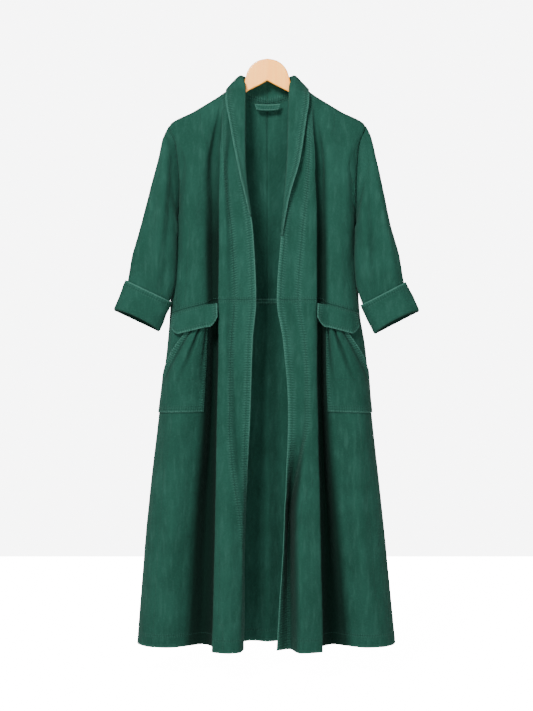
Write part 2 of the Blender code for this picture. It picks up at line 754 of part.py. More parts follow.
def pocket(name, half, sign, sections, material):
    """Patch pocket, pleated under the flap and cut away for the hand at its outer corner."""
    waist_drop = sections[WAIST_KNOT - FIRST_SECTION].drop
    top = waist_drop + POCKET_TOP
    bottom = waist_drop + POCKET_BOTTOM
    outer = []
    inner = []
    for i in range(POCKET_ROWS + 1):
        down = i / POCKET_ROWS
        drop = blend(top, bottom, down)
        level = level_at(half, drop)
        lip = half.across[NAMES.index("lip")] + POCKET_IN_FROM_LIP
        side = half.across[NAMES.index("seam")] - POCKET_IN_FROM_SIDE
        hand = min(1.0, (drop - top) / HAND_OPENING)
        edge = blend(blend(lip, side, HAND_START), side, hand ** 0.75)
        row_out = []
        row_in = []
        for j in range(POCKET_COLUMNS + 1):
            share = j / POCKET_COLUMNS
            u = blend(lip, edge, share)
            point = half.at(u, level)
            normal = half.normal(u, level)
            swell = max(0.0, sin(pi * min(share * 1.15, 1)) * sin(pi * min(0.16 + 0.84 * down, 1)))
            fade = max(0.0, 1 - down / POCKET_PLEAT_REACH)
            pleat = fade * (1 - cos(2 * pi * POCKET_PLEATS * share)) / 2
            lift = LAID_ON + swell * (POCKET_BULGE - POCKET_PLEAT_DEPTH * pleat)
            row_in.append(point + normal * lift)
            row_out.append(point + normal * (lift + CLOTH))
        outer.append(row_out)
        inner.append(row_in)
    cloth(name, outer, inner, material, sign)


def inside_strip(name, halves, levels, reach, material):
    """Strip inside the back, across both halves, out to a reach or else to the side."""
    outer = []
    inner = []
    for level in levels:
        row_out = []
        row_in = []
        for half, sign in zip(halves, (-1, 1)):
            start = half.across[NAMES.index("back_point")]
            if reach is not None:
                start = column_at_back(half, level, reach)
            places = [blend(start, half.across[-1], k / STRIP_STEPS) for k in range(STRIP_STEPS + 1)]
            out = []
            back = []
            for u in places:
                point = half.at(u, level)
                normal = half.normal(u, level)
                out.append(turned_to(point - normal * (CLOTH + LAID_ON), sign))
                back.append(turned_to(point - normal * (2 * CLOTH + LAID_ON), sign))
            if sign < 0:
                row_out, row_in = out, back
            else:
                row_out = row_out[:-1] + out[::-1]
                row_in = row_in[:-1] + back[::-1]
        outer.append(row_out)
        inner.append(row_in)
    cloth(name, outer, inner, material)


def column_at_back(half, level, x):
    """Place across the back where a level passes a given x, near the centre."""
    low = half.across[NAMES.index("back_neck")]
    high = half.across[-1]
    for _ in range(BISECTIONS):
        mid = (low + high) / 2
        if half.at(mid, level).x > x:
            low = mid
        else:
            high = mid
    return (low + high) / 2


def hanger(material):
    """Wooden wishbone whose arms lie under the shoulder seams."""
    clear = (CLOTH + SEAM) * hypot(1, SHOULDER_SLOPE)
    stations = list(ARCH)
    for x in ARM_STATIONS:
        top = shoulder_drop(x) + clear + (NECK_CLEAR if x == NECK_X else 0)
        stations.append(Wood(x, top, top + ARM_THICKNESS))
    outline = [Wood(-s.x, s.top, s.bottom) for s in reversed(stations[1:])] + stations
    bm = bmesh.new()
    rings = []
    for s in outline:
        end = abs(s.x) == ARM_END_X
        half = END_HALF_DEPTH if end else WOOD_HALF_DEPTH
        top = s.top + (END_TOP if end else 0)
        bottom = s.bottom - (END_BOTTOM if end else 0)
        section = [(0, top), (half * 0.8, top + WOOD_ROUND * 0.43), (half, top + WOOD_ROUND)]
        section += [(half, bottom - WOOD_ROUND * 0.55), (half * 0.6, bottom), (0, bottom)]
        ring = section + [(-y, drop) for y, drop in reversed(section[1:-1])]
        rings.append([bm.verts.new((s.x * MM, y * MM, -drop * MM)) for y, drop in ring])
    for a, b in zip(rings, rings[1:]):
        count = len(a)
        for k in range(count):
            n = (k + 1) % count
            bm.faces.new((a[k], a[n], b[n], b[k]))
    bm.faces.new(rings[0])
    bm.faces.new(rings[-1])
    bmesh.ops.recalc_face_normals(bm, faces=bm.faces[:])
    mesh = bpy.data.meshes.new("hanger")
    bm.to_mesh(mesh)
    bm.free()
    mesh.materials.append(material)
    mesh.shade_smooth()
    mesh.set_sharp_from_angle(angle=radians(40))
    bpy.context.scene.collection.objects.link(bpy.data.objects.new("hanger", mesh))


def finish_of(name, colour, roughness):
    material = bpy.data.materials.new(name)
    material.use_nodes = True
    shader = material.node_tree.nodes["Principled BSDF"]
    shader.inputs["Base Color"].default_value = (*colour, 1)
    shader.inputs["Roughness"].default_value = roughness
    shader.inputs["Metallic"].default_value = 0
    return material


def build():
    for old in list(bpy.data.objects):
        bpy.data.objects.remove(old)
    twill = finish_of("green_twill", (0.025, 0.102, 0.076), 0.9)
    beech = finish_of("pale_wood", (0.91, 0.61, 0.36), 0.5)
    left = Half(LEFT)
    right = Half(RIGHT)
    seam = left.column_of["seam"]
    centre = left.column_of["centre"]
    waist = left.level_of[WAIST_KNOT]
    hem = len(left.levels) - 1
    sides = (
        ("left", left, -1, LEFT, SLEEVE_LEFT, COLLAR_FRONT_LEFT),
        ("right", right, 1, RIGHT, SLEEVE_RIGHT, COLLAR_FRONT_RIGHT),
    )
    for side, half, sign, sections, rings, fronts in sides:
        body_panel(f"upper_front_{side}", half, sign, twill, (0, waist), (0, seam))
        body_panel(f"upper_back_{side}", half, sign, twill, (0, waist), (seam, centre))
        body_panel(f"skirt_front_{side}", half, sign, twill, (waist, hem), (0, seam))
        collar(f"collar_{side}", half, sign, fronts, twill)
        end = sleeve(f"sleeve_{side}", half, sign, rings, twill)
        cuff(f"cuff_{side}", sign, rings, end, twill)
        flap(f"flap_{side}", half, sign, sections, twill)
        pocket(f"pocket_{side}", half, sign, sections, twill)
    skirt_back((left, right), twill)
    inside_strip("neck_tab", (left, right), TAB_LEVELS, TAB_HALF_WIDTH, twill)
    inside_strip("waist_tape", (left, right), TAPE_LEVELS, None, twill)
    hanger(beech)


build()
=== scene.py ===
from collections import namedtuple
from math import cos, hypot, pi, radians, sin

import bmesh
import bpy
import numpy as np
from mathutils import Matrix, Vector, noise


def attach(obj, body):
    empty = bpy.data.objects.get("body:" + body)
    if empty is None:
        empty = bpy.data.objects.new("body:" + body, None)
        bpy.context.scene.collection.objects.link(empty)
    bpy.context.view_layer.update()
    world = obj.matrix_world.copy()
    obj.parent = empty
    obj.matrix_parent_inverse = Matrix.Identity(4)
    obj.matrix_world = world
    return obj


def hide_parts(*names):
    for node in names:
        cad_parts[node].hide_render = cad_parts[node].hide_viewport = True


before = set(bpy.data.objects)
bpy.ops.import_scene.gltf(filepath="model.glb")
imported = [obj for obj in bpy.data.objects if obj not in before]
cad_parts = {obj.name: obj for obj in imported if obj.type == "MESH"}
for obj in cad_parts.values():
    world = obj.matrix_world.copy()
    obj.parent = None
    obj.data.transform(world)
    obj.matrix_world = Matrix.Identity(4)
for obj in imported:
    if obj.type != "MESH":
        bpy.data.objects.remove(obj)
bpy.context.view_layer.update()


# The body cloth: one half of it at a time, from the front edge round the side to the centre back.
# It is washed cotton twill, cut in panels that hang from the shoulder seams in long soft folds.
# Sizes are millimetres, x is out from the centre and a drop is a distance below the hanger's top.
MM = 0.001
CLOTH = 1.6
SEAM = 0.3
LAID_ON = 0.7
FINE = 4.0

NECK_X = 62.0
NECK_DROP = 55.5
SHOULDER_SLOPE = 0.603
SHOULDER_X = 211.0
SHOULDER_Y = 5.0
BACK_NECK_DROP = 93.0
BACK_NECK_Y = 38.0
BACK_QUARTER = (44.0, 30.0, 80.0)
BACK_NECK_LEAN = 4.0
BACK_NECK_DEPTH = 2.0
BACK_NECK_FALL = 14.0
ROLL_HEIGHT = 16.0
ROLL_FRONT = 12.0
ROLL_BACK = 14.0
ROLL_OUT = (0.0, 0.71, 1.0)
ROLL_DOWN = (0.0, 0.29, 1.0)

ARMHOLE_X = 187.0
ARMHOLE_TOP_OUT = 24.0
ARMHOLE_LOW_OUT = 5.0
ARMHOLE_BOTTOM = 332.0
ARMHOLE_FRONT = 12.0
ARMHOLE_MID_Y = 6.5
ARMHOLE_TILT = 1.5
ARMHOLE_SWELL = 10.0
ARMHOLE_PULL = 7.0
ARMHOLE_FALL = 9.0
UNDER_ARMHOLE = 27.0
ARMHOLE_TURNS = {"notch": 50, "arm": 113, "seam": 180, "back_arm": 247, "back_notch": 310}

# Fold lines from the front edge to the centre back, with their place on the shoulder.
LINES = {
    "edge": 62,
    "band": 79,
    "crest": 95,
    "fold": 103,
    "under": 106,
    "recess": 110,
    "lip": 116,
    "belly": 160,
    "point": 211,
    "notch": None,
    "arm": None,
    "seam": None,
    "back_arm": None,
    "back_notch": None,
    "back_point": 211,
    "back_belly": 160,
    "back_mid": 111,
    "back_neck": 62,
    "back_quarter": None,
    "centre": None,
}
NAMES = list(LINES)

# Sections below the shoulder, as the panels hang: dip is how much lower they lie at the side seam.
Section = namedtuple(
    "Section",
    "drop dip edge_x edge_y band_x band_y crest_x crest_y fold_x fold_y recess_x recess_y "
    "lip_x lip_y belly_x belly_y side_x side_y back_y wave",
)
LEFT = [
    Section(233, 0, 49, -28, 82, -24, 94, -36, 103, -33, 116, -12, 127, -24, 150, -30, 194, 9, 45, 0),
    Section(384, 0, 30, -44, 73, -36, 89, -46, 103, -40, 116, -12, 128, -25, 158, -34, 201, 13, 50, 1),
    Section(521, 29, 24, -46, 66, -40, 88, -48, 104, -43, 115, -18, 126, -28, 158, -35, 211, 18, 52, 1),
    Section(606, 12, 31, -46, 70, -42, 88, -52, 104, -44, 116, 6, 127, -16, 165, -34, 217, 24, 55, 4),
    Section(757, 4, 36, -42, 67, -44, 88, -56, 107, -47, 120, 18, 134, -12, 178, -32, 235, 34, 60, 9),
    Section(989, 0, 46, -30, 54, -53, 82, -61, 111, -48, 131, 32, 150, 2, 202, -18, 262, 52, 68, 12),
    Section(1268, 0, 50, -17, 57, -51, 83, -64, 118, -46, 143, 42, 168, 24, 216, 0, 286, 67, 76, 14),
]
RIGHT = [
    Section(233, 0, 44, -28, 78, -24, 94, -36, 104, -33, 112, -14, 120, -24, 146, -30, 191, 9, 45, 0),
    Section(384, 0, 29, -44, 76, -36, 91, -46, 105, -40, 114, -14, 123, -25, 152, -34, 191, 13, 50, 1),
    Section(521, 29, 20, -46, 70, -40, 90, -48, 105, -43, 115, -18, 124, -28, 154, -35, 200, 18, 52, 1),
    Section(606, 12, 33, -46, 72, -42, 90, -52, 105, -44, 115, 4, 124, -16, 160, -34, 211, 24, 55, 4),
    Section(757, 4, 44, -42, 74, -44, 90, -56, 107, -47, 117, 16, 127, -12, 172, -32, 226, 34, 60, 9),
    Section(989, 0, 37, -34, 47, -4, 67, -59, 112, -48, 128, 32, 146, 2, 196, -18, 252, 52, 68, 12),
    Section(1268, 0, 20, -30, 48, -14, 71, -62, 118, -46, 144, 42, 170, 24, 216, 0, 281, 67, 76, 14),
]
Turn = namedtuple("Turn", "turn dip")
FRONT_TURNS = [Turn(26, 0.7), Turn(48, 0.85), Turn(71, 0.95)]
BACK_TURNS = [Turn(25, 0.95), Turn(50, 0.85), Turn(75, 0.7)]
SHOULDER_BLADE = 0.68
BackFold = namedtuple("BackFold", "x wave dip")
BACK_FOLDS = [
    BackFold(SHOULDER_BLADE, -1, 0.5),
    BackFold(0.47, 1, 0.2),
    BackFold(0.26, -1, 0),
    BackFold(0.12, 0.6, 0),
    BackFold(0, -0.4, 0),
]
FIRST_SECTION = 3
WAIST_KNOT = 5
ROW_KNOTS = np.array([0.0, 0.08, 0.18, 1.3, 2.9, 4.3, 5.15, 6.7, 9.0, 11.8])
WAIST = ROW_KNOTS[WAIST_KNOT]
HEM = ROW_KNOTS[-1]

# Creases that the hanging cloth keeps, seen from the front: a ridge has depth above 0, a groove below.
Crease = namedtuple("Crease", "x0 drop0 x1 drop1 bend width depth")
CREASE_STRENGTH = 1.5
# How far the painted shade reaches past the lip, where the painted shade of the valley beside the front
# edge starts and stops, and how much of it is left at the hem.
PAST_LIP = 14.0
IN_FROM_EDGE = (3, 14)
SHORT_OF_CREST = (9, 1)
VALLEY_SHADE_AT_HEM = 0.6
FRONT_LEFT_CREASES = [
    Crease(112, 96, 126, 300, 6, 13, -3.0),
    Crease(132, 104, 140, 260, 4, 12, 1.6),
    Crease(158, 130, 176, 300, -8, 10, -1.6),
    Crease(182, 150, 158, 420, 10, 15, 1.5),
    Crease(150, 330, 190, 520, 6, 11, -1.4),
    Crease(134, 380, 146, 525, 0, 10, 1.4),
    Crease(198, 350, 160, 510, -6, 9, -1.4),
    Crease(60, 240, 52, 480, 4, 12, -1.2),
    Crease(150, 760, 166, 1150, 6, 20, -2.6),
    Crease(196, 740, 214, 1090, -8, 18, 2.4),
    Crease(228, 800, 238, 1240, 6, 16, -2.2),
    Crease(176, 900, 262, 1180, 10, 14, 1.4),
    Crease(168, 1040, 230, 1250, -8, 12, -1.3),
    Crease(70, 600, 76, 1180, -5, 13, 1.2),
    Crease(60, 820, 68, 1200, 3, 9, -1.3),
]
FRONT_RIGHT_CREASES = [
    Crease(112, 96, 122, 330, 5, 12, -3.0),
    Crease(130, 104, 138, 240, -3, 12, 1.6),
    Crease(160, 140, 150, 420, 7, 14, -1.2),
    Crease(178, 160, 176, 430, -6, 10, 1.5),
    Crease(138, 360, 152, 520, 4, 10, -1.5),
    Crease(188, 360, 166, 505, -4, 10, -1.4),
    Crease(56, 260, 50, 500, 3, 12, -1.2),
    Crease(150, 740, 172, 1180, -8, 18, -2.4),
    Crease(186, 760, 206, 1120, 8, 18, 2.4),
    Crease(220, 830, 246, 1230, 5, 15, -2.0),
    Crease(190, 990, 250, 1240, 8, 12, 1.5),
    Crease(166, 1080, 214, 1240, -6, 11, -1.2),
    Crease(80, 640, 84, 1200, 4, 12, 1.2),
]
BACK_LEFT_CREASES = [
    Crease(40, 150, 30, 480, 4, 18, -2.2),
    Crease(84, 130, 74, 500, -8, 20, 2.6),
    Crease(120, 150, 130, 500, 6, 18, -2.4),
    Crease(160, 180, 150, 480, -8, 14, 1.8),
    Crease(178, 280, 120, 420, 10, 14, -1.6),
    Crease(46, 540, 54, 1200, 6, 22, -3.2),
    Crease(96, 530, 118, 1240, -8, 22, 3.2),
    Crease(140, 540, 168, 1230, 6, 20, -3.0),
    Crease(186, 560, 226, 1200, 8, 18, 2.6),
]
BACK_RIGHT_CREASES = [
    Crease(24, 150, 34, 470, 5, 17, 2.2),
    Crease(66, 140, 76, 510, 8, 20, -2.4),
    Crease(108, 140, 100, 480, -6, 18, 2.4),
    Crease(146, 170, 150, 500, 6, 15, -2.0),
    Crease(184, 290, 130, 430, -10, 14, 1.5),
    Crease(34, 545, 40, 1210, -6, 20, 3.0),
    Crease(78, 535, 96, 1230, 6, 22, -3.2),
    Crease(126, 545, 150, 1220, -6, 20, 3.0),
    Crease(176, 555, 210, 1230, 7, 18, -2.6),
]


def blend(a, b, t):
    return a + (b - a) * t


def flow(knots, values, at):
    """Smooth curves through values that never swing past them, with the knots on the last axis."""
    knots = np.asarray(knots, float)
    values = np.asarray(values, float)
    at = np.asarray(at, float)
    steps = np.diff(knots)
    rises = np.diff(values, axis=-1) / steps
    same = rises[..., :-1] * rises[..., 1:] > 0
    before = 2 * steps[1:] + steps[:-1]
    after = steps[1:] + 2 * steps[:-1]
    first = np.where(same, rises[..., :-1], 1.0)
    second = np.where(same, rises[..., 1:], 1.0)
    inner = np.where(same, (before + after) / (before / first + after / second), 0.0)
    slopes = np.concatenate([rises[..., :1], inner, rises[..., -1:]], axis=-1)
    i = np.clip(np.searchsorted(knots, at, side="right") - 1, 0, len(knots) - 2)
    t = (at - knots[i]) / steps[i]
    rise = values[..., i + 1] - values[..., i]
    a = slopes[..., i] * steps[i] - rise
    b = rise - slopes[..., i + 1] * steps[i]
    return values[..., i] + rise * t + t * (1 - t) * (a * (1 - t) + b * t)


def shoulder_drop(x):
    return NECK_DROP + SHOULDER_SLOPE * (x - NECK_X)


def armhole(turn):
    """Point of the armhole seam: turn is 0 at the shoulder, pi at the underarm."""
    low = (1 - cos(turn)) / 2
    x = ARMHOLE_X + ARMHOLE_TOP_OUT * (1 - low) ** 4 + ARMHOLE_LOW_OUT * low ** 3
    y = ARMHOLE_MID_Y - ARMHOLE_FRONT * sin(turn) - ARMHOLE_TILT * cos(turn)
    return np.array((x, y, -blend(shoulder_drop(SHOULDER_X), ARMHOLE_BOTTOM, low)))


def top_points():
    """The three rows that round the shoulder, the armhole and the back neck."""
    slope = np.array((-SHOULDER_SLOPE, 0, -1)) / hypot(SHOULDER_SLOPE, 1)
    rows = [[], [], []]
    for name, x in LINES.items():
        back = NAMES.index(name) > NAMES.index("seam")
        if x is not None:
            start = np.array((x, SHOULDER_Y, -shoulder_drop(x)))
            depth = np.array((0, ROLL_BACK if back else -ROLL_FRONT, 0))
            fall = slope * ROLL_HEIGHT
            if name == "back_neck":
                fall = np.array((BACK_NECK_LEAN, 0, -ROLL_HEIGHT))
        elif name in ARMHOLE_TURNS:
            turn = radians(ARMHOLE_TURNS[name])
            start = armhole(turn)
            swell = abs(sin(turn))
            pull = ARMHOLE_PULL * swell * (1 + cos(turn)) / 2
            depth = np.array((0, -ARMHOLE_SWELL * sin(turn), 0))
            fall = np.array((-pull, 0, -ARMHOLE_FALL * (1 + swell)))
        else:
            place = BACK_QUARTER if name == "back_quarter" else (0, BACK_NECK_Y, BACK_NECK_DROP)
            start = np.array((place[0], place[1], -place[2]))
            depth = np.array((0, BACK_NECK_DEPTH, 0))
            fall = np.array((0, 0, -BACK_NECK_FALL))
        for row, out, down in zip(rows, ROLL_OUT, ROLL_DOWN):
            row.append(start + depth * out + fall * down)
    return rows


def section_points(s):
    """The fold lines' points in one section. The first section passes under the armhole."""
    under_armhole = s.drop < ARMHOLE_BOTTOM
    points = [
        (s.edge_x, s.edge_y, 0),
        (s.band_x, s.band_y, 0),
        (s.crest_x, s.crest_y, 0),
        (s.fold_x, s.fold_y, 0),
        (s.fold_x - 1, blend(s.fold_y, s.recess_y, 0.6), 0),
        (s.recess_x, s.recess_y, 0),
        (s.lip_x, s.lip_y, 0.2),
        (s.belly_x, s.belly_y, 0.5),
    ]
    for turn, down in FRONT_TURNS:
        share = sin(radians(turn))
        round_off = cos(radians(turn))
        if under_armhole:
            share = 0.3 + 0.7 * turn / 95
            round_off = cos(radians(0.8 * turn))
        x = blend(s.belly_x, s.side_x, share)
        y = blend(s.side_y, s.belly_y, round_off)
        points.append((x, y, down))
    points.append((s.side_x, s.side_y, 1))
    for turn, down in BACK_TURNS:
        x = s.side_x * blend(SHOULDER_BLADE, 1, cos(radians(turn)))
        y = blend(s.side_y, s.back_y, sin(radians(1.2 * turn if under_armhole else turn)))
        points.append((x, y, down))
    for fold in BACK_FOLDS:
        points.append((fold.x * s.side_x, s.back_y + fold.wave * s.wave, fold.dip))
    placed = np.array([(x, y, -s.drop - s.dip * down) for x, y, down in points], float)
    if under_armhole:
        for name, turn in ARMHOLE_TURNS.items():
            k = NAMES.index(name)
            below = UNDER_ARMHOLE * (1 + 0.6 * abs(sin(radians(turn))))
            placed[k, 2] = min(placed[k, 2], armhole(radians(turn))[2] - below)
    return placed


def ripple(along, pitch, shift):
    """Uneven wave from about -1 to 1, with a crest at about every pitch."""
    turn = 2 * pi * along / pitch
    uneven = 0.65 + 0.35 * np.sin(turn / 5.3 + 2 * shift)
    return uneven * np.sin(turn + 1.9 * np.sin(turn / 3.7 + shift) + shift)


def crease_relief(x, drop, crease):
    """Height of one soft ridge or groove along a slightly bent line that fades at its ends."""
    run = np.array((crease.x1 - crease.x0, crease.drop1 - crease.drop0), float)
    length = np.linalg.norm(run)
    t = np.clip(((x - crease.x0) * run[0] + (drop - crease.drop0) * run[1]) / length ** 2, 0, 1)
    swing = crease.bend * np.sin(pi * t) / length
    from_x = x - crease.x0 - run[0] * t + run[1] * swing
    from_drop = drop - crease.drop0 - run[1] * t - run[0] * swing
    distance = np.hypot(from_x, from_drop)
    return crease.depth * np.sin(pi * t) ** 0.6 * np.exp(-((distance / crease.width) ** 2))


def rumple(points, size, seed):
    """Soft uneven crinkle from -1 to 1, as washing leaves it."""
    shape = points.shape[:-1]
    flat = points.reshape(-1, 3) / size + seed
    return np.array([noise.noise(Vector(p)) for p in flat]).reshape(shape)


def normals_of(points):
    """Unit normals of the outer side, where rows run down and columns run to the right of a wearer."""
    normal = np.cross(np.gradient(points, axis=0), np.gradient(points, axis=1))
    return normal / np.maximum(np.linalg.norm(normal, axis=-1, keepdims=True), 1e-9)


def steps_between(knots, lengths, spacing):
    """Places along the knots, close enough together, with each knot among them."""
    places = []
    for start, stop, length in zip(knots, knots[1:], lengths):
        count = max(2, int(np.ceil(length / spacing)))
        places += [blend(start, stop, k / count) for k in range(count)]
    return np.array(places + [knots[-1]])


class Half:
    """One half of the body cloth, with its creases."""

    def __init__(self, sections, front_creases, back_creases, seed):
        rows = np.array(top_points() + [section_points(s) for s in sections])
        self.valley = [s.band_y - (s.edge_y + s.crest_y) / 2 for s in sections]
        middle = rows[WAIST_KNOT + 1]
        widths = np.linalg.norm(np.diff(middle, axis=0), axis=1)
        self.across = np.concatenate([[0.0], np.cumsum(widths)])
        drops = np.linalg.norm(np.diff(rows[:, NAMES.index("lip")], axis=0), axis=1)
        self.u = steps_between(self.across, widths, FINE)
        self.v = steps_between(ROW_KNOTS, drops, FINE)
        down = flow(ROW_KNOTS, rows.transpose(1, 2, 0), self.v)
        base = flow(self.across, down.transpose(2, 1, 0), self.u).transpose(0, 2, 1)
        x = base[..., 0]
        drop = -base[..., 2]
        front = self.u <= self.line("seam")
        relief = np.zeros(x.shape)
        for creases, side in ((front_creases, front), (back_creases, ~front)):
            for crease in creases:
                relief += crease_relief(x, drop, crease) * side
        relief *= CREASE_STRENGTH
        relief += 1.0 * rumple(base * (1, 1, 0.45), 42, seed) + 0.45 * rumple(base, 15, seed + 9)
        slanted = base * (1, 1, 0.4) + base[..., 2:] * (-0.35, 0, 0)
        relief += 0.6 * rumple(slanted, 17, seed + 4) * np.clip((drop - 600) / 300, 0.3, 1)
        relief += self.gathers(drop, seed)
        relief *= self.free_of_seams(drop)
        self.grid = base + normals_of(base) * relief[..., None]
        self.normal_grid = normals_of(self.grid)

    def line(self, name):
        return self.across[NAMES.index(name)]

    def gathers(self, drop, seed):
        """Short gathers that spring from the waist seam, above and below it."""
        under = np.clip((self.v[:, None] - WAIST) / 0.5, 0, 3)
        over = np.clip((WAIST - self.v[:, None]) / 0.3, 0, 3)
        below = (self.v[:, None] >= WAIST) * under * np.exp(1 - under)
        above = (self.v[:, None] < WAIST) * over * np.exp(1 - over)
        wave = ripple(self.u[None, :], 17, seed)
        return 0.7 * below * wave + 0.35 * above * ripple(self.u[None, :], 12, seed + 1)

    def free_of_seams(self, drop):
        """0 on the seams that panels share, rising to 1 away from them."""
        free = 1 - np.exp(-((drop - shoulder_drop(0)) / 30) ** 2)
        free = free * (1 - np.exp(-(((self.v[:, None] - WAIST) / 0.06) ** 2)))
        for name in ("seam", "centre"):
            free = free * (1 - np.exp(-(((self.u[None, :] - self.line(name)) / 6) ** 2)))
        near_top = 1 - np.exp(-((self.v[:, None] / 0.12) ** 2))
        return free * near_top

    def pick(self, u, v):
        """Points and normals of the cloth at any places across and down."""
        u, v = np.broadcast_arrays(np.asarray(u, float), np.asarray(v, float))
        i = np.clip(np.searchsorted(self.v, v, side="right") - 1, 0, len(self.v) - 2)
        j = np.clip(np.searchsorted(self.u, u, side="right") - 1, 0, len(self.u) - 2)
        t = ((v - self.v[i]) / (self.v[i + 1] - self.v[i]))[..., None]
        s = ((u - self.u[j]) / (self.u[j + 1] - self.u[j]))[..., None]
        found = []
        for table in (self.grid, self.normal_grid):
            above = blend(table[i, j], table[i, j + 1], s)
            below = blend(table[i + 1, j], table[i + 1, j + 1], s)
            found.append(blend(above, below, t))
        return found

    def painted_shade(self):
        """Painted shade: 1 deep in the folds and in the valley beside the lower front edge, where shade
        falls, 0 on the open cloth.
        """
        knots = [self.line(name) for name in ("fold", "under", "recess", "lip", "lip")]
        knots[-1] += PAST_LIP
        across = np.interp(self.u, knots, (0.0, 1.0, 1.0, 0.9, 0.0))
        down = np.clip(self.v / ROW_KNOTS[4], 0, 1) ** 1.2
        knots = [self.line("edge") + d for d in IN_FROM_EDGE]
        knots += [self.line("crest") - d for d in SHORT_OF_CREST]
        beside_edge = np.interp(self.u, knots, (0.0, 1.0, 1.0, 0.0))
        depth = flow(ROW_KNOTS[FIRST_SECTION:], self.valley, np.maximum(self.v, ROW_KNOTS[FIRST_SECTION]))
        fading = np.interp(self.v, (ROW_KNOTS[8], HEM), (1.0, VALLEY_SHADE_AT_HEM))
        valley = np.clip(depth / 30 - 0.3, 0, 1) * fading
        return across[None, :] * down[:, None] + beside_edge[None, :] * valley[:, None]

    def rows_and_columns(self, top, bottom, start, stop):
        rows = (self.v >= top - 1e-6) & (self.v <= bottom + 1e-6)
        columns = (self.u >= start - 1e-6) & (self.u <= stop + 1e-6)
        return rows, columns


left_half = Half(LEFT, FRONT_LEFT_CREASES, BACK_LEFT_CREASES, 2.3)
right_half = Half(RIGHT, FRONT_RIGHT_CREASES, BACK_RIGHT_CREASES, 7.1)


# The twill: a matt cloth, dyed deep green and washed once sewn, so that it is mottled, worn paler on its
# edges and drawn into fine puckers along every stitched seam. Shade is painted into its colour: near black
# deep in its folds, darker in the pucker troughs and along the stitched rows.
DYED = (0.0074, 0.0375, 0.0262)
# A darker green, for random tone and also for the painted shade beside the stitched rows.
DEEP = (0.0054, 0.0300, 0.0205)
WORN = (0.030, 0.090, 0.069)
# Near-black green that paints the shade deep in folds, pleats and inside the cuffs' mouths.
PAINTED_SHADE_GREEN = (0.0006, 0.0052, 0.0032)
PUCKER_PITCH = 5.4
PUCKER_PALENESS = 0.34
# Strengths of the painted shade along the stitched rows and deep in the folds.
ROW_PAINTED_SHADE = 0.65
FOLD_PAINTED_SHADE = 0.94


